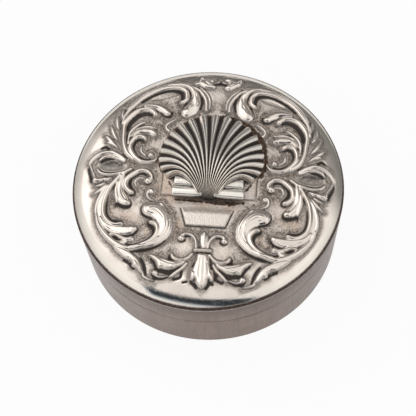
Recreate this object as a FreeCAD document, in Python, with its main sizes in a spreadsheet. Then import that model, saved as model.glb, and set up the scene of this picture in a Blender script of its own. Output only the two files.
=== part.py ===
"""Round silver keepsake box: a drum with a slip-on lid and an applied scallop shell.

Millimetres. +Z is up, the origin is the middle of the underside, and -Y is the front,
where the hinge edge of the shell looks. The lid is drawn closed.
"""
import FreeCAD, Part
import math
import os
import Sketcher

doc = FreeCAD.newDocument("round_silver_box")
sheet = doc.addObject("Spreadsheet::Sheet", "Sizes")

SIZES = [
    ("outer_dia", 70.0, "outside diameter of the drum and of the lid"),
    ("floor_sheet", 0.9, "thickness of the bottom plate"),
    ("foot_round", 0.4, "rounding of the lowest edge"),
    ("wall_sheet", 0.9, "thickness of the side wall"),
    ("seam_height", 14.2, "height of the seam between wall and lid"),
    ("seam_ease", 0.15, "chamfer on both edges of the seam"),
    ("collar_sheet", 0.6, "thickness of the collar inside the wall"),
    ("collar_sunk", 5.5, "length of the collar below the seam"),
    ("collar_stand", 5.0, "length of the collar above the seam"),
    ("collar_lead", 0.25, "chamfer that leads the lid on to the collar"),
    ("slip_gap", 0.12, "clearance between collar and lid skirt"),
    ("skirt_height", 7.4, "height of the lid skirt"),
    ("solder_leg", 0.6, "leg of each solder fillet"),
    ("lid_plate", 0.8, "thickness of the stamped lid plate"),
    ("lid_rise", 3.27, "height of the lid's flat crown above the skirt"),
    ("border_width", 7.0, "width of the rounded border outside the lid's flat crown"),
    ("shoulder_radius", 10.5, "radius of the lid's rounded shoulder"),
    ("rim_round", 0.5, "rounding of the lid's outer edge"),
    ("ornament_shift", 0.7, "how far the stamping sits to the right of the middle"),
    ("panel_width", 23.8, "width of the raised panel under the shell"),
    ("panel_front", 5.6, "front edge of the panel, in front of the middle"),
    ("panel_back", 17.0, "back edge of the panel, behind the middle"),
    ("panel_rise", 0.25, "height of the panel above the ground of the lid"),
    ("plinth_top_width", 12.4, "width of the tapered plaque at its back edge"),
    ("plinth_low_width", 9.6, "width of the tapered plaque at its front edge"),
    ("plinth_back", 9.1, "back edge of the plaque, in front of the middle"),
    ("plinth_depth", 4.8, "depth of the plaque from back to front"),
    ("plinth_rise", 0.45, "height of the plaque above the ground of the lid"),
    ("relief_root", 0.3, "how deep raised work is rooted in the plate"),
    ("scroll_height", 0.65, "height of the stamped scrolls above the ground"),
    ("scroll_gap", 1.37, "clearance between the shell's edge and the nearest scroll"),
    ("plain_border", 3.53, "width of the smooth border outside the scrolls"),
    ("left_turn_angle", 1.9, "turn of the left half of the stamping, in degrees"),
    ("fan_dia", 26.9, "diameter of the round edge of the shell"),
    ("fan_centre", 4.8, "middle of that round edge, behind the middle of the lid"),
    ("fan_sweep_angle", 138.0, "half angle over which the ribs would spread evenly, in degrees"),
    ("fan_fold_angle", 17.0, "how far the outermost ribs are drawn together again, in degrees"),
    ("fan_lean_angle", 33.0, "angle at which the outermost rib leaves the beak, in degrees"),
    ("beak_front", 6.6, "front edge of the fan at its beak, in front of the middle"),
    ("beak_width", 4.6, "width of the fan at its beak"),
    ("middle_reach", 12.5, "length over which the middle rib heads straight"),
    ("side_reach", 8.2, "length over which the outermost rib heads straight"),
    ("rib_count", 19.0, "number of ribs"),
    ("rib_height", 0.55, "height of a rib at the edge of the shell"),
    ("shell_crown", 5.3, "height of the shell above the ground, without ribs"),
    ("shell_wall", 1.2, "thickness of the casting at its crown"),
    ("shell_edge", 0.55, "thickness of the casting at its edge"),
    ("bed_film", 0.2, "thickness of the cement under the shell's edge"),
    ("bed_gap", 0.06, "clearance between cement and shell"),
    ("ear_front", 6.9, "front edge of the ears, in front of the middle"),
    ("ear_span", 17.8, "length of the two ears from tip to tip"),
    ("ear_depth", 2.4, "depth of each of the two rolls that form the ears"),
    ("ear_floor", 0.95, "height of the underside of the ears above the ground"),
    ("ear_height", 1.4, "thickness of the ears at the foot of their rolls"),
    ("roll_height", 0.45, "height of the rolls"),
]
for row, (alias, number, meaning) in enumerate(SIZES, start=1):
    sheet.set(f"A{row}", meaning)
    sheet.set(f"B{row}", str(number))
    sheet.setAlias(f"B{row}", alias)
doc.recompute()

# Radii and heights that several pieces share, as expressions of the sheet
BOX_R = "(Sizes.outer_dia / 2)"
WALL_IN = f"({BOX_R} - Sizes.wall_sheet)"
COLLAR_IN = f"({WALL_IN} - Sizes.collar_sheet)"
SKIRT_IN = f"({WALL_IN} + Sizes.slip_gap)"
COLLAR_LOW = "(Sizes.seam_height - Sizes.collar_sunk)"
COLLAR_TOP = "(Sizes.seam_height + Sizes.collar_stand)"
SKIRT_TOP = "(Sizes.seam_height + Sizes.skirt_height)"
GROUND = f"({SKIRT_TOP} + Sizes.lid_rise)"
CROWN_R = f"({BOX_R} - Sizes.border_width)"
SHOULDER_Z = f"({GROUND} - Sizes.shoulder_radius)"
UNDER_RADIUS = "(Sizes.shoulder_radius - Sizes.lid_plate)"


def value(expression):
    """The number that an expression of the sheet stands for."""
    return float(sheet.evalExpression(str(expression)))


def size(alias):
    """One driving dimension of the sheet."""
    return value("Sizes." + alias)


def on_circle(radius, across, centre_z):
    """Height of a circle's upper half at a given distance from its centre line."""
    return f"({centre_z} + sqrt(pow({radius}; 2) - pow({across}; 2)))"


def profile(body, name, plane_role, corners, rounds=None):
    """A closed sketch through corners given as pairs of expressions.

    rounds maps the index of a side to (radius, centre_x, centre_y, turns_left) and makes
    that side an arc.
    """
    rounds = rounds or {}
    sketch = body.newObject("Sketcher::SketchObject", name)
    plane = [item for item in body.Origin.OriginFeatures if item.Role == plane_role][0]
    sketch.AttachmentSupport = [(plane, "")]
    sketch.MapMode = "FlatFace"
    spots = [FreeCAD.Vector(value(x), value(y), 0) for x, y in corners]
    starts = []
    for side, here in enumerate(spots):
        there = spots[(side + 1) % len(spots)]
        if side in rounds:
            radius, centre_x, centre_y, turns_left = rounds[side]
            centre = FreeCAD.Vector(value(centre_x), value(centre_y), 0)
            first, last = (here, there) if turns_left else (there, here)
            circle = Part.Circle(centre, FreeCAD.Vector(0, 0, 1), value(radius))
            begin = math.atan2(first.y - centre.y, first.x - centre.x)
            end = math.atan2(last.y - centre.y, last.x - centre.x)
            sketch.addGeometry(Part.ArcOfCircle(circle, begin, end))
            starts.append((1, 2) if turns_left else (2, 1))
        else:
            sketch.addGeometry(Part.LineSegment(here, there))
            starts.append((1, 2))
    for side in range(len(spots)):
        after = (side + 1) % len(spots)
        joint = ("Coincident", side, starts[side][1], after, starts[after][0])
        sketch.addConstraint(Sketcher.Constraint(*joint))
    for side, corner in enumerate(corners):
        for kind, axis, expression in zip(("DistanceX", "DistanceY"), (-2, -1), corner):
            vertex = (side, starts[side][0])
            if abs(value(expression)) < 1e-9:
                sketch.addConstraint(Sketcher.Constraint("PointOnObject", *vertex, axis))
                continue
            index = sketch.addConstraint(
                Sketcher.Constraint(kind, -1, 1, *vertex, value(expression)))
            sketch.setExpression(f"Constraints[{index}]", str(expression))
    for side, (radius, _, _, _) in rounds.items():
        index = sketch.addConstraint(Sketcher.Constraint("Radius", side, value(radius)))
        sketch.setExpression(f"Constraints[{index}]", str(radius))
    return sketch


def turned(label, corners, rounds=None):
    """A body turned about the Z axis from a profile of (radius, height) corners."""
    body = doc.addObject("PartDesign::Body", label)
    body.Label = label
    sketch = profile(body, label + "_profile", "XZ_Plane", corners, rounds)
    turn = body.newObject("PartDesign::Revolution", label + "_turn")
    turn.Profile = sketch
    turn.ReferenceAxis = (sketch, ["V_Axis"])
    turn.Angle = 360
    body.Tip = turn
    doc.recompute()
    return body


def raised_plate(body, name, corners, rise):
    """A flat raised field on the crown of the lid, rooted in the plate."""
    sketch = profile(body, name + "_outline", "XY_Plane", corners)
    sketch.setExpression("AttachmentOffset.Base.z", f"{GROUND} - Sizes.relief_root")
    pad = body.newObject("PartDesign::Pad", name)
    pad.Profile = sketch
    pad.setExpression("Length", f"Sizes.relief_root + {rise}")
    body.Tip = pad
    doc.recompute()


# Bottom plate, trimmed flush with the wall that stands on it
FOOT_IN = f"({BOX_R} - Sizes.foot_round)"
base_floor = turned(
    "base_floor",
    [("0", "0"), (FOOT_IN, "0"), (BOX_R, "Sizes.foot_round"),
     (BOX_R, "Sizes.floor_sheet"), ("0", "Sizes.floor_sheet")],
    {1: ("Sizes.foot_round", FOOT_IN, "Sizes.foot_round", True)})

# Side wall, rolled from strip
base_wall = turned(
    "base_wall",
    [(WALL_IN, "Sizes.floor_sheet"), (BOX_R, "Sizes.floor_sheet"),
     (BOX_R, "Sizes.seam_height - Sizes.seam_ease"),
     (f"{BOX_R} - Sizes.seam_ease", "Sizes.seam_height"), (WALL_IN, "Sizes.seam_height")])

# Collar inside the wall, over which the lid slips
collar = turned(
    "collar",
    [(COLLAR_IN, COLLAR_LOW), (WALL_IN, COLLAR_LOW),
     (WALL_IN, f"{COLLAR_TOP} - Sizes.collar_lead"),
     (f"{WALL_IN} - Sizes.collar_lead", COLLAR_TOP), (COLLAR_IN, COLLAR_TOP)])

# Skirt of the lid, seated on the wall's upper edge
lid_skirt = turned(
    "lid_skirt",
    [(SKIRT_IN, "Sizes.seam_height"), (f"{BOX_R} - Sizes.seam_ease", "Sizes.seam_height"),
     (BOX_R, "Sizes.seam_height + Sizes.seam_ease"), (BOX_R, SKIRT_TOP),
     (SKIRT_IN, SKIRT_TOP)])

# Solder fillets: floor to wall, collar to wall, lid plate to skirt
FLOOR_TOP = "Sizes.floor_sheet"
floor_solder = turned(
    "floor_solder",
    [(f"{WALL_IN} - Sizes.solder_leg", FLOOR_TOP), (WALL_IN, FLOOR_TOP),
     (WALL_IN, f"{FLOOR_TOP} + Sizes.solder_leg")])
collar_solder = turned(
    "collar_solder",
    [(COLLAR_IN, COLLAR_LOW), (WALL_IN, f"{COLLAR_LOW} - Sizes.collar_sheet"),
     (WALL_IN, COLLAR_LOW)])
SOLDER_IN = f"({SKIRT_IN} - Sizes.solder_leg)"
UNDER_EDGE = on_circle(UNDER_RADIUS, f"({SKIRT_IN} - {CROWN_R})", SHOULDER_Z)
UNDER_SOLDER = on_circle(UNDER_RADIUS, f"({SOLDER_IN} - {CROWN_R})", SHOULDER_Z)
lid_solder = turned(
    "lid_solder",
    [(SKIRT_IN, f"{SKIRT_TOP} - Sizes.solder_leg"), (SKIRT_IN, UNDER_EDGE),
     (SOLDER_IN, UNDER_SOLDER)],
    {1: (UNDER_RADIUS, CROWN_R, SHOULDER_Z, True)})

# Stamped lid plate: flat crown, rounded shoulder, edge flush with the skirt
RIM_Z = on_circle("Sizes.shoulder_radius", f"({BOX_R} - {CROWN_R})", SHOULDER_Z)
UNDER_Z = f"({GROUND} - Sizes.lid_plate)"
lid_blank = turned(
    "lid_blank",
    [("0", UNDER_Z), (CROWN_R, UNDER_Z), (SKIRT_IN, UNDER_EDGE), (SKIRT_IN, SKIRT_TOP),
     (BOX_R, SKIRT_TOP), (BOX_R, RIM_Z), (CROWN_R, GROUND), ("0", GROUND)],
    {1: (UNDER_RADIUS, CROWN_R, SHOULDER_Z, False),
     5: ("Sizes.shoulder_radius", CROWN_R, SHOULDER_Z, True)})
rim_edges = [
    f"Edge{number}" for number, edge in enumerate(lid_blank.Shape.Edges, start=1)
    if isinstance(edge.Curve, Part.Circle)
    and abs(edge.Curve.Radius - value(BOX_R)) < 1e-6
    and abs(edge.Curve.Center.z - value(RIM_Z)) < 1e-6]
plain_plate = lid_blank.Tip
rim_fillet = lid_blank.newObject("PartDesign::Fillet", "rim_fillet")
rim_fillet.Base = (plain_plate, rim_edges)
rim_fillet.setExpression("Radius", "Sizes.rim_round")
lid_blank.Tip = rim_fillet
doc.recompute()

# Raised panel under the shell, and the tapered plaque in front of it
PANEL_LEFT = "(Sizes.ornament_shift - Sizes.panel_width / 2)"
PANEL_RIGHT = "(Sizes.ornament_shift + Sizes.panel_width / 2)"
raised_plate(
    lid_blank, "panel",
    [(PANEL_LEFT, "-Sizes.panel_front"), (PANEL_RIGHT, "-Sizes.panel_front"),
     (PANEL_RIGHT, "Sizes.panel_back"), (PANEL_LEFT, "Sizes.panel_back")],
    "Sizes.panel_rise")
PLINTH_LOW = "-(Sizes.plinth_back + Sizes.plinth_depth)"
raised_plate(
    lid_blank, "plinth",
    [("Sizes.ornament_shift - Sizes.plinth_low_width / 2", PLINTH_LOW),
     ("Sizes.ornament_shift + Sizes.plinth_low_width / 2", PLINTH_LOW),
     ("Sizes.ornament_shift + Sizes.plinth_top_width / 2", "-Sizes.plinth_back"),
     ("Sizes.ornament_shift - Sizes.plinth_top_width / 2", "-Sizes.plinth_back")],
    "Sizes.plinth_rise")

# Main scrolls of the stamping, right half: places and half widths along each one. The drawing is
# spread over the ring between the shell and the plain border
FULL_WIDTH = 0.5
SECTIONS_PER_SPAN = 2
SCROLLS = {
    "big plume": [(16.4, -21.2, 0.4), (13.4, -20.2, 0.75), (11.0, -18.3, 1.05), (9.8, -15.6, 1.4),
                  (10.3, -12.8, 1.6), (12.2, -11.1, 1.6), (14.4, -10.8, 1.1)],
    "lower hook": [(15.2, -1.5, 0.45), (16.1, 0.0, 0.5), (17.8, 0.3, 0.55), (19.8, -0.9, 0.55),
                   (21.1, -3.0, 0.55), (20.9, -4.9, 0.55), (19.4, -6.2, 0.55)],
    "lower leaf": [(22.6, -2.2, 0.3), (22.8, -4.8, 0.7), (22.2, -7.4, 1.0), (20.3, -9.1, 0.85)],
    "lower ribbon": [(24.2, -3.6, 0.3), (25.4, -6.4, 0.5), (25.9, -9.8, 0.55), (25.2, -13.2, 0.55),
                     (23.3, -15.1, 0.5), (21.0, -15.3, 0.4)],
    "border stem": [(27.5, -10.4, 0.35), (26.8, -14.2, 0.42), (24.7, -18.0, 0.52),
                    (21.2, -20.9, 0.6), (17.4, -22.7, 0.75), (14.8, -24.5, 1.1),
                    (13.4, -26.5, 0.95), (12.4, -28.2, 0.35)],
    "lower plume": [(24.3, -16.6, 0.35), (22.3, -17.0, 0.7), (19.9, -17.1, 0.95), (17.2, -16.4, 0.6)],
    "side leaf": [(3.7, -24.6, 0.35), (6.1, -25.0, 0.7), (8.4, -24.1, 0.95), (10.2, -22.9, 0.5),
                  (11.6, -22.6, 0.25)],
    "leaf curl": [(2.8, -22.5, 0.35), (4.1, -23.3, 0.42), (5.6, -23.3, 0.45), (6.7, -22.3, 0.35)],
    "cup rim": [(22.9, 3.2, 0.3), (24.6, 4.3, 0.48), (26.8, 4.8, 0.55), (29.2, 4.0, 0.5),
                (31.0, 2.1, 0.4)],
    "cup leaf": [(24.4, -1.9, 0.3), (26.3, -2.6, 0.6), (28.4, -2.9, 0.75), (30.3, -1.6, 0.5),
                 (31.2, 0.4, 0.25)],
    "upper hook": [(15.0, 4.0, 0.35), (16.7, 2.9, 0.48), (18.8, 3.2, 0.52), (20.9, 5.3, 0.55),
                   (21.7, 7.9, 0.55), (20.8, 9.8, 0.55), (18.9, 10.3, 0.45)],
    "upper ribbon": [(23.0, 6.2, 0.4), (23.9, 9.4, 0.45), (24.2, 12.6, 0.5), (23.5, 15.9, 0.6),
                     (21.4, 18.4, 0.6), (18.4, 19.0, 0.55), (16.8, 18.0, 0.45)],
    "upper plume": [(21.0, 11.9, 0.3), (18.9, 12.5, 0.7), (17.2, 12.4, 0.75), (15.9, 12.0, 0.45)],
    "middle plume": [(18.8, 20.4, 0.35), (16.2, 20.1, 0.65), (14.4, 19.1, 0.8), (13.2, 18.1, 0.5)],
    "top ribbon": [(24.8, 17.2, 0.3), (22.6, 20.8, 0.42), (19.0, 24.5, 0.52), (14.8, 26.5, 0.6),
                   (10.9, 26.6, 0.58), (9.2, 24.6, 0.5), (9.9, 22.4, 0.45)],
    "top plume": [(7.2, 26.1, 0.5), (6.5, 23.8, 0.9), (6.9, 21.6, 1.25), (8.3, 19.7, 1.0)],
    "top strand": [(5.2, 26.0, 0.33), (3.9, 23.6, 0.38), (3.4, 20.8, 0.33)],
    "front sprig": [(25.6, 7.0, 0.2), (27.2, 8.4, 0.42), (28.7, 9.7, 0.18)],
    "middle sprig": [(25.6, 9.2, 0.18), (26.8, 11.0, 0.42), (27.8, 13.0, 0.16)],
    "back sprig": [(25.8, 12.8, 0.16), (26.4, 14.6, 0.4), (26.7, 16.4, 0.16)],
    "lily arm": [(1.3, -19.0, 0.33), (2.1, -17.0, 0.36), (3.7, -16.3, 0.4), (5.1, -17.3, 0.5)],
    "side lobe": [(2.0, -25.7, 0.4), (2.15, -27.0, 0.48), (2.45, -28.4, 0.28)],
    "low stem": [(3.4, -25.4, 0.3), (4.6, -26.5, 0.36), (6.2, -28.0, 0.28)],
    "crest leaf": [(1.7, 28.0, 0.3), (3.4, 28.2, 0.75), (4.6, 28.9, 0.7), (5.7, 30.1, 0.3)],
}
MIDDLE_SCROLLS = {
    "lily bud": [(0.05, -19.3, 0.3), (0.05, -17.4, 0.42), (0.0, -15.8, 0.3)],
    "leaf binding": [(-1.9, -20.4, 0.45), (0.0, -20.4, 0.5), (1.9, -20.4, 0.45)],
    "palmette": [(0.0, -21.5, 1.1), (0.0, -23.2, 1.6), (0.1, -26.0, 1.1), (0.25, -28.6, 0.75),
                 (0.4, -30.3, 0.35)],
}


DRAWN = [spot for points in SCROLLS.values() for spot in points]
DRAWN_IN = min(math.hypot(x, y) - width for x, y, width in DRAWN)
DRAWN_OUT = max(math.hypot(x, y) + width for x, y, width in DRAWN)
RING_IN = size("fan_dia") / 2 + size("scroll_gap")
RING_OUT = value(BOX_R) - size("plain_border")
SPREAD = (RING_OUT - RING_IN) / (DRAWN_OUT - DRAWN_IN)


def lid_spot(x, y, width, side):
    """Place on the lid of a point of the stamping; its half width stands in for the height.

    The drawing grows outwards by the spread and sideways with its distance from the middle, and
    a scroll's width follows the lesser growth, so that neighbours keep apart.
    """
    drawn = math.hypot(x, y)
    grown = (RING_IN + (drawn - DRAWN_IN) * SPREAD) / drawn
    x, y = side * x * grown, y * grown
    width = width * min(SPREAD, grown)
    if side < 0:
        turn = -math.radians(size("left_turn_angle"))
        x, y = x * math.cos(turn) - y * math.sin(turn), x * math.sin(turn) + y * math.cos(turn)
    return FreeCAD.Vector(x + size("ornament_shift"), y, width)


def ground_height(x, y):
    """Height of the lid's plain surface: flat crown, then the rounded shoulder."""
    over = max(math.hypot(x, y) - value(CROWN_R), 0.0)
    return value(SHOULDER_Z) + math.sqrt(size("shoulder_radius") ** 2 - over ** 2)


def scroll(points, side):
    """A raised scroll: rounded sections lofted along a smooth line, rooted in the plate."""
    arch = Part.ArcOfCircle(Part.Circle(), 0, math.pi).toShape()
    foot = Part.LineSegment(FreeCAD.Vector(-1, 0, 0), FreeCAD.Vector(1, 0, 0)).toShape()
    section = Part.Wire([arch, foot])
    route = Part.BSplineCurve()
    route.interpolate([lid_spot(*spot, side) for spot in points])
    steps = SECTIONS_PER_SPAN * (len(points) - 1)
    placed = []
    for step in range(steps + 1):
        share = step / steps
        place = route.FirstParameter + (route.LastParameter - route.FirstParameter) * share
        spot, heading = route.value(place), route.tangent(place)[0]
        length = math.hypot(heading.x, heading.y)
        ahead_x, ahead_y = heading.x / length, heading.y / length
        half = spot.z
        height = size("scroll_height") * math.sqrt(min(half / FULL_WIDTH, 1.0))
        tall = height + size("relief_root")
        low = ground_height(spot.x, spot.y) - size("relief_root")
        frame = FreeCAD.Matrix(
            half * ahead_y, 0, ahead_x, spot.x,
            -half * ahead_x, 0, ahead_y, spot.y,
            0, tall, 0, low,
            0, 0, 0, 1)
        placed.append(section.transformGeometry(frame))
    return Part.makeLoft(placed, True, False)


lid_top = doc.addObject("Part::MultiFuse", "lid_top")
lid_top.Label = "lid_top"
stamped = [lid_blank]
for half, drawings, side in (
        ("right", SCROLLS, 1), ("left", SCROLLS, -1), ("middle", MIDDLE_SCROLLS, 1)):
    for title, points in drawings.items():
        raised = doc.addObject("Part::Feature", f"{half}_{title}".replace(" ", "_"))
        raised.Shape = scroll(points, side)
        stamped.append(raised)
lid_top.Shapes = stamped
lid_top.Refine = False
doc.recompute()

# Scallop shell: every rib leaves the beak and bends outwards to the round edge
BEAK_RISE_RATIO = 0.2
RIB_STEPS = 10
LINES_PER_RIB = 4
LEAN_POWER = 1.2
FOLD_POWER = 2.5
CORNER_START_RATIO = 0.78
CORNER_DROP_RATIO = 0.1
SIDE_DROP_RATIO = 0.28
FAN_START_RATIO = 0.06
SEAT = size("panel_rise") + size("bed_film")
EDGE = SEAT + size("shell_edge")


def fan_plan(along, across):
    """Place of a point of the fan: along runs from beak to edge, across from -1 to 1."""
    off = abs(across)
    hand = math.copysign(1.0, across)
    corner = min(max((off - CORNER_START_RATIO) / (1 - CORNER_START_RATIO), 0.0), 1.0)
    corner = corner * corner * (3 - 2 * corner)
    radius = size("fan_dia") / 2 * (1 - CORNER_DROP_RATIO * corner)
    spread = size("fan_sweep_angle") * off - size("fan_fold_angle") * off ** FOLD_POWER
    end_angle = hand * math.radians(spread)
    lean = hand * math.radians(size("fan_lean_angle")) * off ** LEAN_POWER
    beak_x = across * size("beak_width") / 2
    beak_y = -size("beak_front")
    end_x = radius * math.sin(end_angle)
    end_y = size("fan_centre") + radius * math.cos(end_angle)
    reach = size("middle_reach") + (size("side_reach") - size("middle_reach")) * across ** 2
    middle_x = beak_x + reach * math.sin(lean)
    middle_y = beak_y + reach * math.cos(lean)
    back = 1 - along
    x = back ** 2 * beak_x + 2 * along * back * middle_x + along ** 2 * end_x
    y = back ** 2 * beak_y + 2 * along * back * middle_y + along ** 2 * end_y
    return x, y


def fan_dome(along, across):
    """Height of the fan without its ribs, above the ground of the lid."""
    swell = math.sin(math.pi * (BEAK_RISE_RATIO + (1 - BEAK_RISE_RATIO) * min(along, 1.0)))
    side = 1 - SIDE_DROP_RATIO * across ** 2
    return EDGE + (size("shell_crown") - EDGE) * side * swell


def fan_under(along, across):
    """Height of the hollow back of the fan."""
    scale = (size("shell_crown") - size("shell_wall") - SEAT) / (size("shell_crown") - EDGE)
    return SEAT + (fan_dome(along, across) - EDGE) * scale


def fan_rib(along, across):
    """Height that the ribs add: they grow from nothing at the beak to the edge."""
    wave = 0.5 + 0.5 * math.cos(math.pi * size("rib_count") * across)
    if int(round(size("rib_count"))) % 2 == 0:
        wave = 1 - wave
    return size("rib_height") * math.sqrt(along) * wave


def fan_lines(height, columns, starts, ends, spread=1.0):
    """Smooth lines along the fan, side by side, from one distance off the beak to another."""
    lines = []
    for column in range(columns + 1):
        across = spread * (-1 + 2 * column / columns)
        spots = []
        for step in range(RIB_STEPS):
            along = starts + (ends - starts) * step / (RIB_STEPS - 1)
            x, y = fan_plan(along, across)
            spots.append(FreeCAD.Vector(x, y, height(along, across)))
        line = Part.BSplineCurve()
        line.interpolate(spots)
        lines.append(line)
    return lines


def strip(first, second):
    """The ruled face between two lines."""
    return Part.makeRuledSurface(first.toShape(), second.toShape())


def solid_between(upper, lower):
    """The closed solid between two sets of lines that lie above each other."""
    faces = [strip(upper[0], lower[0]), strip(upper[-1], lower[-1])]
    for lines in (upper, lower):
        faces += [strip(left, right) for left, right in zip(lines, lines[1:])]
    for end in (0, -1):
        rims = []
        for lines in (upper, lower):
            tips = [line.value((line.FirstParameter, line.LastParameter)[end]) for line in lines]
            rims.append([Part.LineSegment(a, b) for a, b in zip(tips, tips[1:])])
        faces += [strip(top, low) for top, low in zip(*rims)]
    skin = Part.makeShell(faces)
    skin.sewShape()
    solid = Part.makeSolid(skin)
    if solid.Volume < 0:
        solid.reverse()
    return solid


FAN_COLUMNS = int(round(size("rib_count"))) * LINES_PER_RIB
fan = doc.addObject("Part::Feature", "shell_fan")
fan.Shape = solid_between(
    fan_lines(lambda s, t: fan_dome(s, t) + fan_rib(s, t), FAN_COLUMNS, FAN_START_RATIO, 1.0),
    fan_lines(fan_under, FAN_COLUMNS, FAN_START_RATIO, 1.0))

# Ears of the shell: two rolls side by side along the hinge edge
ears = doc.addObject("PartDesign::Body", "shell_ears")
EAR_FRONT = "(-Sizes.ear_front)"
EAR_MIDDLE = f"({EAR_FRONT} + Sizes.ear_depth)"
EAR_BACK = f"({EAR_FRONT} + 2 * Sizes.ear_depth)"
EAR_TOP = "(Sizes.ear_floor + Sizes.ear_height)"
ROLL_RADIUS = "((pow(Sizes.ear_depth / 2; 2) + pow(Sizes.roll_height; 2)) / (2 * Sizes.roll_height))"
ROLL_Z = f"({EAR_TOP} + Sizes.roll_height - {ROLL_RADIUS})"
ear_sketch = profile(
    ears, "ear_profile", "YZ_Plane",
    [(EAR_FRONT, "Sizes.ear_floor"), (EAR_BACK, "Sizes.ear_floor"), (EAR_BACK, EAR_TOP),
     (EAR_MIDDLE, EAR_TOP), (EAR_FRONT, EAR_TOP)],
    {2: (ROLL_RADIUS, f"{EAR_MIDDLE} + Sizes.ear_depth / 2", ROLL_Z, True),
     3: (ROLL_RADIUS, f"{EAR_FRONT} + Sizes.ear_depth / 2", ROLL_Z, True)})
ear_pad = ears.newObject("PartDesign::Pad", "ear_rolls")
ear_pad.Profile = ear_sketch
ear_pad.Midplane = True
ear_pad.setExpression("Length", "Sizes.ear_span")
ears.Tip = ear_pad
doc.recompute()

shell = doc.addObject("Part::MultiFuse", "shell")
shell.Shapes = [fan, ears]
shell.Label = "shell"

# Cement that beds the hollow shell on the panel, clear of the ears
BED_START_RATIO = 0.42
BED_SPREAD_RATIO = 1.02
BED_ACROSS_RATIO = 0.86
BED_COLUMNS = 24
BED_RANGE = (BED_COLUMNS, BED_START_RATIO, BED_SPREAD_RATIO, BED_ACROSS_RATIO)
shell_bed = doc.addObject("Part::Feature", "shell_bed")
shell_bed.Label = "shell_bed"
shell_bed.Shape = solid_between(
    fan_lines(lambda s, t: fan_under(s, t) - size("bed_gap"), *BED_RANGE),
    fan_lines(lambda s, t: size("panel_rise"), *BED_RANGE))

# The stamping, and with it the shell, sits a little off the middle of the lid
for piece in (shell, shell_bed):
    piece.setExpression("Placement.Base.x", "Sizes.ornament_shift")
    piece.setExpression("Placement.Base.z", GROUND)
doc.recompute()

PIECES = [base_floor, base_wall, floor_solder, collar, collar_solder, lid_skirt, lid_top,
          lid_solder, shell, shell_bed]
for item in doc.Objects:
    if "Invalid" in item.State or "Error" in item.State:
        raise RuntimeError(f"{item.Label} did not build: {item.State}")
for piece in PIECES:
    if piece.Shape.isNull() or not piece.Shape.isValid():
        raise RuntimeError(f"{piece.Label} is not a valid solid")

os.makedirs("parts", exist_ok=True)
for piece in PIECES:
    piece.Shape.exportStep(f"parts/{piece.Label}.step")
    print(piece.Label, len(piece.Shape.Solids), round(piece.Shape.Volume, 2), "mm3")
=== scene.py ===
# %% [markdown]
# A round silver keepsake box: a plain drum with a slip-on lid. The lid is stamped with a wreath
# of scrolls, and a cast scallop shell is cemented to a small panel in its middle.
# The plain pieces come straight from the CAD model. The stamped lid and the ribbed shell are
# made again here, because their look lies in relief finer than the solids hold.

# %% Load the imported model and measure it
import math
from functools import partialmethod
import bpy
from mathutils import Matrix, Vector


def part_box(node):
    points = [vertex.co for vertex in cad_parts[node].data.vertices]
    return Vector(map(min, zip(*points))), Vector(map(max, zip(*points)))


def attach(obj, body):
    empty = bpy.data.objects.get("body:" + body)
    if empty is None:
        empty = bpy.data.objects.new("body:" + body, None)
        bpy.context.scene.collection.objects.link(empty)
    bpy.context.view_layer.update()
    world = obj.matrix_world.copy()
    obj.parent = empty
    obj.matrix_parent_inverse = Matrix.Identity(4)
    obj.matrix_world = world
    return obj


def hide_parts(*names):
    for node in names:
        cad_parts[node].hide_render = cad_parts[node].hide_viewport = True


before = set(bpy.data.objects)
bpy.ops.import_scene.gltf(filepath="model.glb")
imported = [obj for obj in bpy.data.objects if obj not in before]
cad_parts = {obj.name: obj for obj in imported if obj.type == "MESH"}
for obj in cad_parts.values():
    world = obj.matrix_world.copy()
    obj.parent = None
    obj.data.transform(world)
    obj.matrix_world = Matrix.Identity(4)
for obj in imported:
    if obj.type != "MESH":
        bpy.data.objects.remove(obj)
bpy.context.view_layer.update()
from types import SimpleNamespace
import bpy
import numpy as np
from mathutils import Matrix, Vector

MM = 0.001
SKIRT_LOW, SKIRT_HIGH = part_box("lid_skirt")
BOX_R = SKIRT_HIGH.x / MM
SKIRT_IN = BOX_R - 0.78
SKIRT_TOP = SKIRT_HIGH.z / MM
SEAM_Z = SKIRT_LOW.z / MM
LID_RISE = 3.27
GROUND = SKIRT_TOP + LID_RISE
CROWN_R = BOX_R - 7.0
SHOULDER_R = 10.5
SHOULDER_Z = GROUND - SHOULDER_R
RIM_ROUND = 0.5
LID_PLATE = 0.8
ORNAMENT_X = 0.7
print("outside radius", round(BOX_R, 2), "mm, ground of the lid at", round(GROUND, 2), "mm")


# %% [markdown]
# Small helpers come first. One makes a mesh piece from points in millimetres, one writes a float
# attribute that a material can read, and the others keep node trees short to write: a Term is a
# value in a tree, so that a rule reads as plain arithmetic.

# %% Helpers for meshes
def add_object(name, data):
    """A new object in the scene."""
    made = bpy.data.objects.new(name, data)
    bpy.context.scene.collection.objects.link(made)
    return made


def mesh_piece(name, points, faces, material):
    """A smooth mesh object from points in millimetres."""
    mesh = bpy.data.meshes.new(name)
    mesh.from_pydata((np.asarray(points, float) * MM).tolist(), [], faces)
    mesh.polygons.foreach_set("use_smooth", [True] * len(mesh.polygons))
    mesh.update()
    mesh.materials.append(material)
    return add_object(name, mesh)


def write_attribute(piece, name, values):
    """One number per point, for materials to read."""
    layer = piece.data.attributes.new(name, "FLOAT", "POINT")
    layer.data.foreach_set("value", np.asarray(values, np.float32))


def ring_faces(rings, around):
    """Quads between closed rings of points, each ring after the other."""
    faces = []
    for low in range(0, (rings - 1) * around, around):
        high = low + around
        for step in range(around):
            after = (step + 1) % around
            faces.append((low + step, low + after, high + after, high + step))
    return faces


print("mesh helpers ready")


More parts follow.
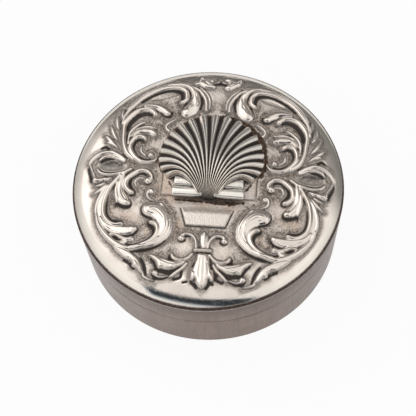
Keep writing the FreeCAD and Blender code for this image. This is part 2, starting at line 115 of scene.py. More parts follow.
# %% Helpers for node trees
def feed(tree, made, values):
    """Sets inputs of a node, by name or number, to numbers, sockets or terms."""
    for key, entry in values.items():
        if isinstance(entry, Term):
            entry = entry.socket
        if isinstance(entry, bpy.types.NodeSocket):
            tree.links.new(entry, made.inputs[key])
        else:
            made.inputs[key].default_value = entry


def node(tree, kind, values=None, **settings):
    """A node with its settings and its inputs."""
    made = tree.nodes.new(kind)
    for key, setting in settings.items():
        setattr(made, key, setting)
    feed(tree, made, values or {})
    return made


class Term:
    """A value in a node tree."""

    def __init__(self, tree, socket):
        self.tree = tree
        self.socket = socket

    def apply(self, operation, *others):
        """A math node over this value and others."""
        entries = dict(enumerate((self,) + others))
        made = node(self.tree, "ShaderNodeMath", entries, operation=operation)
        return Term(self.tree, made.outputs[0])

    def __rsub__(self, other):
        return self * -1.0 + other

    def ramp(self, low, high):
        """A smooth step from 0 at low to 1 at high."""
        made = node(self.tree, "ShaderNodeMapRange",
                    {"Value": self, "From Min": low, "From Max": high},
                    interpolation_type="SMOOTHSTEP")
        return Term(self.tree, made.outputs["Result"])


MATH_NODES = {
    "__add__": "ADD", "__radd__": "ADD", "__sub__": "SUBTRACT", "__mul__": "MULTIPLY",
    "__rmul__": "MULTIPLY", "__truediv__": "DIVIDE", "__pow__": "POWER", "sin": "SINE",
    "cos": "COSINE", "root": "SQRT", "size": "ABSOLUTE", "sign": "SIGN", "least": "MINIMUM",
    "most": "MAXIMUM"}
for method, operation in MATH_NODES.items():
    setattr(Term, method, partialmethod(Term.apply, operation))


def blend(share, low, high):
    """low where share is 0, high where it is 1."""
    return low + (high - low) * share


def colour_mix(tree, share, low, high):
    """A colour between two others."""
    return node(tree, "ShaderNodeMix", {0: share, 6: low, 7: high}, data_type="RGBA").outputs[2]


def noise(tree, place, scale, detail, roughness=0.5):
    """A noise value."""
    made = node(tree, "ShaderNodeTexNoise",
                {"Vector": place, "Scale": scale, "Detail": detail, "Roughness": roughness})
    return Term(tree, made.outputs["Fac"])


def start_group(name, inputs, outputs, kind="ShaderNodeTree"):
    """A node group with named sockets: the group, its inputs as terms, its output node."""
    group = bpy.data.node_groups.new(name, kind)
    for label, socket_type, start in inputs:
        socket = group.interface.new_socket(label, in_out="INPUT", socket_type=socket_type)
        if start is not None:
            socket.default_value = start
    for label, socket_type in outputs:
        group.interface.new_socket(label, in_out="OUTPUT", socket_type=socket_type)
    entry = group.nodes.new("NodeGroupInput")
    given = {label: Term(group, entry.outputs[label]) for label, _, _ in inputs}
    return group, given, group.nodes.new("NodeGroupOutput")


print("helpers ready,", len(MATH_NODES), "ways to join terms")

# %% [markdown]
# Old silver goes dark where a polishing cloth can't reach and stays bright on its crests, and the
# same darkening paints the shade that falls in those hollows. One shared group does this for every
# silver surface: it takes a cavity value, breaks its edge up with noise, and gives back a colour, a
# share of bare metal and a roughness.

# %% Shared group for tarnish and painted shade
FLOAT = "NodeSocketFloat"
COLOUR = "NodeSocketColor"
VECTOR = "NodeSocketVector"
tarnish_group, given, tarnish_out = start_group(
    "Tarnish and painted shade in recesses",
    [("Vector", VECTOR, None), ("Silver", COLOUR, (0.9, 0.87, 0.83, 1)),
     ("Haze", COLOUR, (0.45, 0.41, 0.37, 1)), ("Dirt and shade", COLOUR, (0.02, 0.014, 0.01, 1)),
     ("Cavity", FLOAT, 0.0), ("Haze amount", FLOAT, 0.3), ("Roughness", FLOAT, 0.25)],
    [("Colour", COLOUR), ("Metal", FLOAT), ("Roughness", FLOAT), ("Mask", FLOAT)])
grain = noise(tarnish_group, given["Vector"], 1900.0, 4.0, 0.6)
cloud = noise(tarnish_group, given["Vector"], 210.0, 3.0, 0.55)
cavity = given["Cavity"]
# Tarnish and painted shade together: the cavity value darkens both alike
dirt_and_shade_mask = (cavity + (grain - 0.5) * 0.5 * cavity.ramp(0.02, 0.3)).ramp(0.18, 0.85)
haze_mask = cloud.ramp(0.3, 0.75) * given["Haze amount"]
hazed = colour_mix(tarnish_group, haze_mask, given["Silver"], given["Haze"])
feed(tarnish_group, tarnish_out, {
    "Colour": colour_mix(tarnish_group, dirt_and_shade_mask, hazed, given["Dirt and shade"]),
    "Metal": 1.0 - dirt_and_shade_mask * 0.7,
    "Roughness": given["Roughness"] + dirt_and_shade_mask * 0.35 + haze_mask * 0.12,
    "Mask": dirt_and_shade_mask})
print("group", tarnish_group.name, "with", len(tarnish_group.nodes), "nodes")

# %% [markdown]
# Handled silver carries hair scratches. They are contour lines of a noise that is stretched one
# way: a thin line where the noise crosses its middle value. Two directions lie over each other.

# %% Shared group for scratches and dents
scratch_group, given, scratch_out = start_group(
    "Hair scratches",
    [("Vector", VECTOR, None), ("Scale", FLOAT, 300.0), ("Width", FLOAT, 0.012)],
    [("Lines", FLOAT), ("Dents", FLOAT)])
# Directions of the scratches: turn in radians, stretch
SCRATCH_WAYS = [(0.7, 8.0), (2.3, 5.0)]
line_terms = []
for turn, stretch in SCRATCH_WAYS:
    turned = node(scratch_group, "ShaderNodeMapping",
                  {"Vector": given["Vector"], "Rotation": (0.3, 0.2, turn),
                   "Scale": (1.0, stretch, 1.0)}, vector_type="TEXTURE")
    off_middle = (noise(scratch_group, turned.outputs[0], given["Scale"], 2.0) - 0.5).size()
    line_terms.append(1.0 - (off_middle / given["Width"]).ramp(0.2, 1.0))
feed(scratch_group, scratch_out, {
    "Lines": line_terms[0].most(line_terms[1]),
    "Dents": noise(scratch_group, given["Vector"], 90.0, 1.0)})
print("group", scratch_group.name, "with", len(scratch_group.nodes), "nodes")


# %% [markdown]
# Every silver material is the same recipe with other numbers: tarnish with painted shade, hair
# scratches and a little unevenness of the surface. The drum was brushed up and down, rubbed where
# the lid slips over its collar, and carries a painted shadow just under the rim.

# %% Recipe for silver
RUBBED = (0.14, 0.11, 0.095, 1)
SHADOW_UNDER_RIM = (0.15, 0.108, 0.09, 1)
# Bumps: strength and distance
DENT_BUMP = (0.12, 0.0004)
SCRATCH_BUMP = (0.06, 0.00003)
BRUSH_DISTANCE = 0.00006


def start_material(name):
    """A material, its tree, its Principled BSDF and its object coordinates."""
    material = bpy.data.materials.new(name)
    material.use_nodes = True
    tree = material.node_tree
    place = node(tree, "ShaderNodeTexCoord").outputs["Object"]
    return material, tree, tree.nodes["Principled BSDF"], place


def attribute(tree, name):
    """A float attribute of the mesh."""
    return Term(tree, node(tree, "ShaderNodeAttribute", attribute_name=name).outputs["Fac"])


def stretched(tree, place, scale):
    """Coordinates scaled along their axes."""
    return node(tree, "ShaderNodeMapping", {"Vector": place, "Scale": scale}).outputs[0]


def millimetres(tree, place, axis):
    """One coordinate in millimetres."""
    return Term(tree, node(tree, "ShaderNodeSeparateXYZ", {0: place}).outputs[axis]) / MM


def bump(tree, height, strength, distance, under=None):
    """The normal of a bumped surface, over another bump if given."""
    made = node(tree, "ShaderNodeBump",
                {"Height": height, "Strength": strength, "Distance": distance})
    if under is not None:
        tree.links.new(under, made.inputs["Normal"])
    return made.outputs["Normal"]


def silver_material(name, silver, haze, haze_amount, roughness, scratch_scale, brushed=0.0,
                    dirt_and_shade=None):
    """Old silver with hair scratches and soft dents, and with dirt and painted shade in its cavities
    if given.
    """
    material, tree, surface, place = start_material(name)
    tarnish = node(tree, "ShaderNodeGroup",
                   {"Vector": place, "Silver": silver, "Haze": haze, "Haze amount": haze_amount,
                    "Roughness": roughness}, node_tree=tarnish_group)
    if dirt_and_shade:
        feed(tree, tarnish, {"Dirt and shade": dirt_and_shade, "Cavity": attribute(tree, "cavity")})
    marks = node(tree, "ShaderNodeGroup", {"Vector": place, "Scale": scratch_scale},
                 node_tree=scratch_group)
    lines = Term(tree, marks.outputs["Lines"])
    shape = bump(tree, marks.outputs["Dents"], *DENT_BUMP)
    shape = bump(tree, 1.0 - lines, *SCRATCH_BUMP, shape)
    gloss = Term(tree, tarnish.outputs["Roughness"]) + lines * 0.06
    metal = Term(tree, tarnish.outputs["Metal"])
    tint = tarnish.outputs["Colour"]
    if brushed:
        streak = noise(tree, stretched(tree, place, (1.0, 1.0, 0.05)), 1800.0, 4.0)
        shape = bump(tree, streak, brushed, BRUSH_DISTANCE, shape)
        tint = colour_mix(tree, (streak - 0.5) * 1.6 + 0.2, tint, haze)
        rubs = noise(tree, stretched(tree, place, (0.05, 0.05, 1.0)), 1500.0, 4.0)
        level = millimetres(tree, place, "Z")
        near_seam = 1.0 - (level - SEAM_Z).size().ramp(0.3, 2.6)
        tint = colour_mix(tree, rubs.ramp(0.44, 0.7) * near_seam * 0.75, tint, RUBBED)
        # Painted shadow under the rim: the wall and skirt darken from the seam up to the rim
        tint = colour_mix(tree, level.ramp(SEAM_Z, SKIRT_TOP) * 0.8, tint, SHADOW_UNDER_RIM)
    feed(tree, surface,
         {"Base Color": tint, "Metallic": metal, "Roughness": gloss, "Normal": shape})
    return SimpleNamespace(
        material=material, tree=tree, surface=surface, place=place, tint=tint, gloss=gloss,
        shape=shape, metal=metal, dirt_and_shade=Term(tree, tarnish.outputs["Mask"]))


print("recipe ready")

# %% [markdown]
# The drum is dull and warm, and the inside of the collar is greyer. The cast shell and the plain
# border of the lid are the brightest. Black film and painted shade darken the shell's grooves, beak
# and ears, and a painted dark reflection lines the lid's rim.

# %% Plain silvers
BLACK_FILM_AND_SHADE = (0.026, 0.018, 0.014, 1)
wall_silver = silver_material(
    "wall_silver", (0.32, 0.236, 0.201, 1), (0.2, 0.148, 0.125, 1), 0.3, 0.23, 260.0,
    brushed=0.3).material
inner_silver = silver_material(
    "inner_silver", (0.66, 0.62, 0.57, 1), (0.42, 0.38, 0.34, 1), 0.6, 0.42, 200.0).material
cast_silver = silver_material(
    "shell_silver", (0.97, 0.92, 0.86, 1), (0.62, 0.55, 0.49, 1), 0.12, 0.14, 420.0,
    dirt_and_shade=BLACK_FILM_AND_SHADE).material
# The border's dark colour paints the dark reflection along the rim and the shade on its far side
border_silver = silver_material(
    "border_silver", (0.88, 0.825, 0.755, 1), (0.62, 0.57, 0.52, 1), 0.2, 0.09, 330.0,
    dirt_and_shade=(0.05, 0.022, 0.016, 1)).material
print("plain silver materials:", [m.name for m in bpy.data.materials if m.name.endswith("silver")])

# %% [markdown]
# The stamped lid adds to the recipe. A matting punch leaves a pitted ground between the scrolls,
# dark near the forms, worn paler in the open and browned towards the front. Dried cement lies
# over the silver round the shell, and in front of the hinge its dark crust also paints the shadow
# under the rolls.

# %% Stamped silver of the lid
PIT_DARK = (0.06, 0.046, 0.037, 1)
PIT_PALE = (0.25, 0.2, 0.168, 1)
WORN_PALE = (0.74, 0.665, 0.61, 1)
WORN_BROWN = (0.66, 0.53, 0.44, 1)
CRUST_AND_SHADOW_DARK = (0.022, 0.009, 0.005, 1)
CRUST_AND_SHADOW_PALE = (0.2, 0.125, 0.085, 1)
PIT_BUMP = (0.5, 0.00012)
BLOT_BUMP = (0.4, 0.00012)
lid_look = silver_material(
    "lid_silver", (0.88, 0.8, 0.735, 1), (0.6, 0.52, 0.46, 1), 0.3, 0.14, 380.0, dirt_and_shade=BLACK_FILM_AND_SHADE)
stamped_silver = lid_look.material
tree = lid_look.tree
crust_and_shadow_share = attribute(tree, "crust_and_shadow")
open_share = attribute(tree, "open")
ground_share = attribute(tree, "ground") * (1.0 - lid_look.dirt_and_shade * 0.95)
punch = node(tree, "ShaderNodeTexVoronoi",
             {"Vector": lid_look.place, "Scale": 2600.0, "Randomness": 1.0})
pits = Term(tree, punch.outputs["Distance"])
blots = noise(tree, lid_look.place, 1100.0, 8.0, 0.85)
to_front = 1.0 - millimetres(tree, lid_look.place, "Y").ramp(-4.0, 10.0) * 0.8
browned = noise(tree, lid_look.place, 150.0, 3.0).ramp(0.42, 0.62) * to_front
matted = colour_mix(tree, (blots + (pits - 0.4) * 0.3).ramp(0.36, 0.66), PIT_DARK, PIT_PALE)
worn = (open_share + (blots - 0.5) * 3.2 + (pits - 0.4) * 0.7).ramp(0.05, 1.2)
matted = colour_mix(tree, worn, matted, colour_mix(tree, browned, WORN_PALE, WORN_BROWN))
tint = colour_mix(tree, ground_share * 0.92, lid_look.tint, matted)
crust_and_shadow_tone = colour_mix(tree, blots.ramp(0.4, 0.7), CRUST_AND_SHADOW_DARK, CRUST_AND_SHADOW_PALE)
shape = bump(tree, pits * ground_share, *PIT_BUMP, lid_look.shape)
shape = bump(tree, blots * (ground_share + crust_and_shadow_share * 2.0), *BLOT_BUMP, shape)
feed(tree, lid_look.surface, {
    "Base Color": colour_mix(tree, crust_and_shadow_share, tint, crust_and_shadow_tone),
    "Roughness": lid_look.gloss + ground_share * 0.26 + crust_and_shadow_share * 0.4,
    "Metallic": lid_look.metal * (1.0 - crust_and_shadow_share), "Normal": shape})
print("lid material in", len(tree.nodes), "nodes")

# %% [markdown]
# Two finishes are not polished silver: the brown cement that holds the shell, and the grey solder
# in the inner corners.

# %% Cement and solder
CEMENT_DARK = (0.03, 0.012, 0.007, 1)
CEMENT_PALE = (0.22, 0.13, 0.08, 1)
SOLDER_DARK = (0.34, 0.32, 0.30, 1)
SOLDER_PALE = (0.62, 0.59, 0.55, 1)
cement, tree, surface, place = start_material("dried_cement")
lump = noise(tree, place, 900.0, 6.0)
feed(tree, surface, {
    "Base Color": colour_mix(tree, lump.ramp(0.35, 0.7), CEMENT_DARK, CEMENT_PALE),
    "Roughness": 0.75, "Normal": bump(tree, lump, 0.6, 0.0002)})

solder, tree, surface, place = start_material("silver_solder")
flow = noise(tree, place, 700.0, 3.0)
feed(tree, surface, {
    "Base Color": colour_mix(tree, flow, SOLDER_DARK, SOLDER_PALE),
    "Metallic": 1.0, "Roughness": flow * 0.2 + 0.35, "Normal": bump(tree, flow, 0.4, 0.0001)})
print("also", cement.name, "and", solder.name)

# %% [markdown]
# The wreath on the lid was struck in a die that an engraver cut stroke by stroke. It is drawn the
# same way here: each scroll or stem is a line through a few chosen points, with a half width at
# each point. Lines are given for the right half and mirrored to the left.
# All points are in millimetres from the middle of the stamping, with the front at negative y.

# %% Scrolls of the right half
# Each entry: name, height, points as (x, y, half width)
SCROLLS = [
    ("lower hook", 0.8, [(14.7, -1.9, 0.35), (15.0, -0.9, 0.45), (16.0, 0.1, 0.5), (17.3, 0.4, 0.55),
        (18.6, 0.05, 0.6), (19.8, -0.9, 0.62), (20.9, -2.1, 0.62), (21.25, -3.4, 0.6),
        (21.1, -4.6, 0.58), (20.3, -5.6, 0.58), (19.3, -6.2, 0.6)]),
    ("lower leaf", 0.8, [(22.0, -0.8, 0.3), (22.4, -2.6, 0.5), (22.6, -4.8, 0.75), (22.2, -6.8, 0.95),
        (21.2, -8.4, 1.05), (19.8, -9.3, 0.6)]),
    ("lower leaf side", 0.6, [(23.3, -3.6, 0.25), (23.4, -5.6, 0.42), (23.0, -7.6, 0.45),
        (22.6, -9.4, 0.25)]),
    ("lower ribbon", 0.75, [(23.0, -1.5, 0.3), (24.2, -3.6, 0.44), (25.3, -6.0, 0.46),
        (25.8, -9.0, 0.5), (25.75, -11.5, 0.5), (25.1, -13.6, 0.5), (23.6, -15.1, 0.5),
        (22.0, -15.6, 0.5), (20.5, -15.2, 0.45)]),
    ("lower band", 0.3, [(25.0, -4.2, 0.3), (26.3, -6.6, 0.42), (26.75, -9.5, 0.45),
        (26.7, -12.0, 0.42), (26.0, -14.4, 0.38)]),
    ("lower outer ridge", 0.55, [(24.6, -4.0, 0.3), (26.4, -6.2, 0.36), (27.4, -9.0, 0.36),
        (27.6, -11.5, 0.36), (27.1, -13.6, 0.34), (26.2, -15.6, 0.35)]),
    ("lower plume", 0.8, [(26.0, -14.2, 0.3), (24.7, -15.9, 0.6), (22.6, -16.9, 0.95),
        (20.2, -17.1, 1.1), (18.2, -16.8, 0.95), (16.9, -16.2, 0.55)]),
    ("border stem", 0.75, [(27.2, -13.4, 0.3), (26.3, -15.8, 0.42), (24.6, -18.0, 0.55),
        (22.4, -19.9, 0.7), (19.8, -21.3, 0.7), (17.0, -21.7, 0.55), (14.2, -21.0, 0.4)]),
    ("stem loop", 0.65, [(22.6, -18.4, 0.3), (21.2, -18.4, 0.34), (19.8, -19.0, 0.4),
        (18.6, -19.3, 0.45), (17.3, -19.1, 0.5)]),
    ("stem underside", 0.5, [(21.8, -20.2, 0.4), (20.2, -20.6, 0.6), (19.0, -20.1, 0.5),
        (18.4, -19.6, 0.3)]),
    ("big plume", 0.95, [(17.2, -21.4, 0.4), (14.3, -20.7, 0.68), (12.0, -19.5, 0.95),
        (10.4, -17.9, 1.2), (9.6, -16.2, 1.4), (9.6, -14.3, 1.5), (10.5, -12.3, 1.7),
        (12.2, -10.8, 1.75), (13.6, -10.5, 1.6), (14.2, -10.5, 1.45)]),
    ("inner plume", 0.8, [(16.0, -20.9, 0.3), (13.6, -19.7, 0.38), (12.2, -18.5, 0.44),
        (11.4, -17.0, 0.5), (11.35, -15.5, 0.56), (12.0, -14.4, 0.58), (13.2, -14.1, 0.5)]),
    ("ground hook", 0.4, [(13.2, -8.0, 0.15), (14.2, -7.7, 0.22), (15.0, -7.1, 0.26),
        (15.3, -6.2, 0.28), (15.1, -5.4, 0.29), (14.5, -5.0, 0.3), (14.0, -5.4, 0.28)]),
    ("ground ridge", 0.3, [(11.4, -8.6, 0.25), (10.5, -9.4, 0.2), (9.6, -10.4, 0.12)]),
    ("lily arm", 0.6, [(1.1, -19.6, 0.3), (1.4, -18.0, 0.3), (2.2, -16.8, 0.34), (3.5, -16.3, 0.36),
        (4.7, -16.6, 0.38), (5.2, -17.3, 0.4)]),
    ("leaf curl", 0.7, [(1.8, -21.6, 0.3), (2.6, -22.6, 0.36), (3.7, -23.35, 0.4),
        (5.2, -23.45, 0.42), (6.4, -22.9, 0.42), (6.7, -22.2, 0.34)]),
    ("low stem", 0.65, [(2.8, -24.2, 0.3), (3.8, -25.6, 0.34), (5.3, -27.0, 0.36),
        (6.3, -28.1, 0.28)]),
    ("low curl", 0.45, [(7.0, -28.0, 0.15), (8.4, -28.4, 0.22), (9.8, -28.1, 0.26),
        (10.3, -27.5, 0.3)]),
    ("leaf tail", 0.4, [(13.0, -28.4, 0.25), (11.8, -29.0, 0.22), (10.2, -29.4, 0.12)]),
    ("cup rim", 0.75, [(22.6, 3.0, 0.35), (24.4, 4.2, 0.5), (26.6, 4.8, 0.56), (28.6, 4.4, 0.52),
        (30.2, 3.3, 0.5), (31.2, 2.0, 0.42), (31.6, 0.9, 0.28)]),
    ("cup rim tip", 0.7, [(25.0, 4.6, 0.4), (26.0, 5.1, 0.36), (26.9, 5.7, 0.12)]),
    ("cup inner rim", 0.6, [(22.6, 2.4, 0.25), (24.6, 3.3, 0.32), (26.6, 3.6, 0.36),
        (28.3, 3.1, 0.34), (29.1, 2.1, 0.22)]),
    ("cup lower rim", 0.6, [(20.5, 0.6, 0.3), (22.2, -0.6, 0.32), (24.2, -1.3, 0.32),
        (26.2, -1.7, 0.34), (28.2, -1.4, 0.34), (29.2, -0.4, 0.25)]),
    ("cup small leaf", 0.5, [(26.0, -4.6, 0.2), (27.3, -6.2, 0.34), (28.9, -7.9, 0.15)]),
    ("cup small leaf 2", 0.4, [(26.6, -4.2, 0.2), (27.9, -5.1, 0.28), (29.0, -5.5, 0.12)]),
    ("sprig one", 0.4, [(24.8, 6.2, 0.12), (26.2, 7.5, 0.3), (27.7, 8.9, 0.42), (28.9, 9.9, 0.14)]),
    ("sprig two", 0.35, [(25.4, 6.9, 0.12), (27.0, 7.6, 0.28), (28.2, 8.0, 0.1)]),
    ("sprig three", 0.4, [(25.4, 8.6, 0.12), (26.4, 10.0, 0.36), (27.2, 11.5, 0.42),
        (27.9, 13.2, 0.12)]),
    ("sprig four", 0.4, [(25.6, 12.0, 0.12), (26.2, 13.2, 0.34), (26.5, 14.7, 0.4),
        (26.7, 16.5, 0.1)]),
    ("sprig five", 0.35, [(25.3, 15.4, 0.1), (25.5, 17.0, 0.28), (25.4, 18.8, 0.1)]),
    ("upper hook", 0.85, [(14.2, 4.6, 0.22), (14.9, 3.4, 0.4), (16.7, 2.85, 0.5), (18.6, 3.1, 0.58),
        (20.4, 4.5, 0.62), (21.6, 6.3, 0.58), (21.8, 8.0, 0.56), (21.1, 9.7, 0.56),
        (20.0, 10.4, 0.56), (18.8, 10.3, 0.52), (18.2, 9.7, 0.46)]),
    ("upper ribbon", 0.75, [(20.5, 3.5, 0.45), (22.3, 5.2, 0.6), (23.3, 7.0, 0.5), (23.9, 9.0, 0.46),
        (24.1, 11.0, 0.48), (24.3, 13.0, 0.5), (24.0, 15.0, 0.6), (23.0, 16.8, 0.65),
        (21.6, 18.3, 0.6), (19.8, 19.0, 0.58), (18.0, 18.8, 0.55), (16.8, 17.9, 0.5)]),
    ("upper flute", 0.5, [(22.6, 8.0, 0.2), (22.6, 11.0, 0.3), (21.8, 12.8, 0.3), (20.3, 14.3, 0.28),
        (19.0, 15.1, 0.2)]),
    ("upper flute 2", 0.45, [(22.2, 10.3, 0.18), (21.0, 12.4, 0.25), (19.6, 13.4, 0.2),
        (17.8, 13.7, 0.26), (15.9, 13.3, 0.25)]),
    ("upper plume", 0.85, [(21.7, 10.6, 0.3), (20.3, 11.8, 0.6), (18.5, 12.3, 0.9), (16.9, 12.1, 0.8),
        (15.8, 11.5, 0.45)]),
    ("middle plume", 0.8, [(19.9, 20.1, 0.3), (18.0, 20.2, 0.55), (16.2, 20.0, 0.75),
        (14.5, 19.2, 0.85), (13.3, 18.3, 0.6)]),
    ("top ribbon", 0.75, [(25.0, 14.0, 0.3), (24.6, 16.8, 0.36), (23.3, 19.3, 0.42),
        (20.2, 23.5, 0.52), (16.3, 26.0, 0.6), (13.0, 26.8, 0.6), (10.8, 26.6, 0.56),
        (9.5, 25.8, 0.52), (9.1, 24.4, 0.52), (9.2, 23.1, 0.52), (10.1, 22.2, 0.5)]),
    ("top ribbon back", 0.4, [(24.4, 18.6, 0.2), (22.6, 21.9, 0.3), (19.6, 25.1, 0.32),
        (16.0, 27.2, 0.3), (12.6, 28.0, 0.28), (9.4, 27.6, 0.25)]),
    ("top plume", 0.9, [(11.6, 28.0, 0.25), (8.8, 27.2, 0.45), (7.2, 25.6, 0.7), (6.6, 23.8, 0.95),
        (6.8, 21.9, 1.25), (7.6, 20.2, 1.5), (8.5, 19.2, 1.2)]),
    ("top strand", 0.55, [(8.0, 27.6, 0.2), (5.9, 26.4, 0.32), (4.7, 25.0, 0.36), (3.9, 23.6, 0.36),
        (3.5, 22.0, 0.34), (3.4, 20.3, 0.3)]),
    ("top strand 2", 0.4, [(6.0, 27.6, 0.15), (4.2, 26.0, 0.22), (3.0, 24.2, 0.25), (2.6, 22.4, 0.22),
        (2.6, 20.8, 0.18)]),
    ("upper ground hook", 0.4, [(11.0, 16.8, 0.16), (12.3, 15.8, 0.24), (13.3, 14.7, 0.27),
        (13.1, 13.6, 0.28), (12.4, 13.0, 0.32)]),
    ("hook inside ridge", 0.2, [(18.9, 7.6, 0.16), (18.7, 6.0, 0.22), (17.4, 4.9, 0.16)]),
    ("hook inside ridge 2", 0.2, [(16.8, -1.8, 0.16), (18.2, -1.9, 0.2), (18.9, -3.2, 0.2),
        (18.3, -4.4, 0.14)])]
# Broad strokes that are fluted along their length, and how often
FLUTED = {"lower leaf": 3, "lower plume": 2}
# Round knobs that end some scrolls: x, y, radius, height
KNOBS = [
    (15.7, -2.4, 0.78, 0.8), (14.3, -5.7, 0.38, 0.45), (5.05, -17.6, 0.68, 0.7),
    (10.2, -27.45, 0.6, 0.6), (16.1, 5.2, 0.62, 0.75), (16.8, 17.7, 0.55, 0.75),
    (17.4, -19.1, 0.62, 0.65), (12.4, 13.0, 0.36, 0.45), (13.7, 18.5, 0.8, 0.8),
    (16.4, 11.9, 0.8, 0.85), (8.3, 19.5, 1.15, 0.9), (17.4, -16.4, 0.75, 0.8),
    (20.2, -9.1, 0.75, 0.8), (18.5, 10.1, 0.55, 0.85), (9.9, 22.4, 0.55, 0.75)]
# Strokes on the middle line
MIDDLE = [
    ("binding", 0.75, [(-1.8, -20.4, 0.45), (1.8, -20.4, 0.45)]),
    ("bud", 0.55, [(0.0, -15.7, 0.35), (0.05, -17.2, 0.45), (0.1, -19.6, 0.32)]),
    ("bud left", 0.35, [(-0.75, -15.9, 0.15), (-0.6, -17.6, 0.24), (-0.35, -19.4, 0.2)]),
    ("bud right", 0.35, [(0.85, -16.2, 0.15), (0.7, -17.8, 0.24), (0.5, -19.4, 0.2)])]
# The left half of the die sits a little turned
LEFT_TURN = math.radians(-1.9)
print(len(SCROLLS), "scrolls and", len(KNOBS), "knobs to a side")

# %% [markdown]
# Broad leaves have an outline of their own instead of a middle line. Veins are cut into leaves and
# plumes afterwards, and deep recesses lie where one form stands in front of another.

# %% Leaves, veins and recesses
# Each leaf: name, height, which sides it is on, outline as (x, y)
LEAVES = [
    ("side leaf", 0.8, "both", [(3.2, -23.6), (4.6, -24.0), (6.1, -23.9), (7.6, -23.6), (9.2, -23.2),
        (10.8, -22.8), (12.4, -22.8), (11.6, -23.7), (10.6, -24.5), (10.1, -25.4), (9.6, -26.4),
        (8.6, -26.2), (7.6, -26.5), (6.2, -26.2), (5.2, -25.6), (4.0, -24.8)]),
    ("outer leaf", 0.8, "both", [(20.0, -21.4), (17.6, -22.3), (15.8, -23.3), (14.6, -24.4),
        (13.9, -25.6), (13.3, -26.9), (12.7, -28.3), (13.9, -27.7), (14.9, -26.8), (16.2, -26.3),
        (16.2, -25.6), (16.6, -24.9), (18.0, -24.5), (19.4, -23.7), (20.6, -22.8), (21.6, -21.6)]),
    ("cup leaf", 0.75, "both", [(31.6, 1.0), (31.0, -0.6), (30.3, -1.9), (29.9, -3.0), (30.0, -3.9),
        (29.3, -4.6), (28.2, -4.3), (27.0, -3.6), (26.3, -3.75), (25.5, -3.0), (24.9, -2.4),
        (26.0, -2.5), (27.6, -2.8), (29.0, -2.7), (29.6, -1.9), (30.4, -0.6), (31.1, 0.9)]),
    ("palmette", 0.9, "middle", [(-1.3, -21.3), (0.0, -21.1), (1.3, -21.3), (1.7, -22.2),
        (2.0, -23.4), (2.4, -24.6), (2.9, -25.8), (3.25, -27.0), (3.15, -28.4), (2.5, -28.4),
        (2.0, -27.9), (1.9, -28.8), (1.4, -29.7), (0.5, -30.5), (-0.5, -29.8), (-1.1, -29.0),
        (-1.4, -28.0), (-1.9, -28.6), (-2.4, -28.3), (-2.7, -27.0), (-2.5, -25.6), (-2.0, -24.4),
        (-1.6, -23.2), (-1.5, -22.2)]),
    ("right crest leaf", 0.75, "middle", [(1.5, 27.9), (2.1, 28.6), (2.6, 29.4), (2.2, 30.2),
        (1.3, 30.8), (2.6, 31.2), (3.6, 30.6), (4.6, 30.1), (5.3, 31.0), (6.0, 31.2), (6.1, 29.4),
        (5.6, 28.6), (4.9, 28.2), (4.0, 27.6), (3.1, 27.0), (2.2, 27.2)]),
    ("left crest leaf", 0.6, "middle", [(-0.7, 28.1), (-1.6, 28.9), (-2.0, 29.6), (-1.2, 30.2),
        (-2.4, 30.8), (-3.4, 30.6), (-4.2, 30.8), (-4.8, 31.8), (-5.2, 30.8), (-5.6, 29.6),
        (-6.8, 28.8), (-5.0, 28.3), (-4.0, 27.6), (-2.6, 27.3), (-1.4, 27.5)])]
# Veins: depth, points as (x, y, half width), on both sides
VEINS = [
    (0.3, [(4.4, -24.5, 0.1), (6.2, -24.8, 0.14), (8.4, -24.3, 0.13), (10.8, -23.4, 0.08)]),
    (0.22, [(6.4, -25.4, 0.08), (7.8, -25.3, 0.12), (9.4, -24.9, 0.08)]),
    (0.34, [(19.6, -22.5, 0.1), (17.2, -23.5, 0.15), (15.2, -25.0, 0.15), (13.8, -26.9, 0.1)]),
    (0.26, [(19.0, -23.3, 0.1), (17.2, -24.0, 0.13), (15.9, -25.2, 0.08)]),
    (0.24, [(16.0, -23.9, 0.08), (14.7, -25.4, 0.12), (13.6, -27.2, 0.06)]),
    (0.35, [(8.5, -13.2, 0.1), (8.45, -14.8, 0.16), (8.8, -16.3, 0.18), (9.5, -17.6, 0.18),
        (10.6, -18.8, 0.18), (12.0, -19.8, 0.16), (13.6, -20.6, 0.12)]),
    (0.25, [(9.2, -13.6, 0.08), (9.15, -15.2, 0.16), (9.7, -16.8, 0.14), (10.6, -18.0, 0.1)]),
    (0.35, [(10.1, -14.8, 0.08), (10.25, -16.4, 0.14), (10.8, -17.7, 0.16), (11.8, -18.9, 0.16),
        (13.2, -19.9, 0.14), (15.0, -20.7, 0.1)]),
    (0.2, [(11.2, -12.9, 0.1), (12.2, -12.0, 0.12), (13.4, -11.7, 0.1)]),
    (0.25, [(6.2, 26.2, 0.1), (5.6, 24.4, 0.14), (5.6, 22.6, 0.14), (6.0, 21.4, 0.1)]),
    (0.3, [(7.6, 26.4, 0.1), (6.7, 24.6, 0.16), (6.8, 22.8, 0.16), (7.3, 21.2, 0.1)]),
    (0.2, [(23.0, -17.3, 0.1), (21.0, -17.6, 0.14), (19.0, -17.6, 0.12), (17.6, -17.0, 0.08)]),
    (0.25, [(31.0, -0.2, 0.08), (30.0, -2.2, 0.12), (28.6, -3.3, 0.12), (26.8, -3.1, 0.08)]),
    (0.2, [(20.4, 11.5, 0.1), (18.8, 11.8, 0.14), (17.2, 11.7, 0.1)]),
    (0.2, [(18.6, 19.9, 0.1), (16.6, 19.6, 0.14), (14.8, 18.8, 0.1)]),
    (0.22, [(3.0, 28.0, 0.1), (4.4, 29.0, 0.14), (5.6, 30.4, 0.1)])]
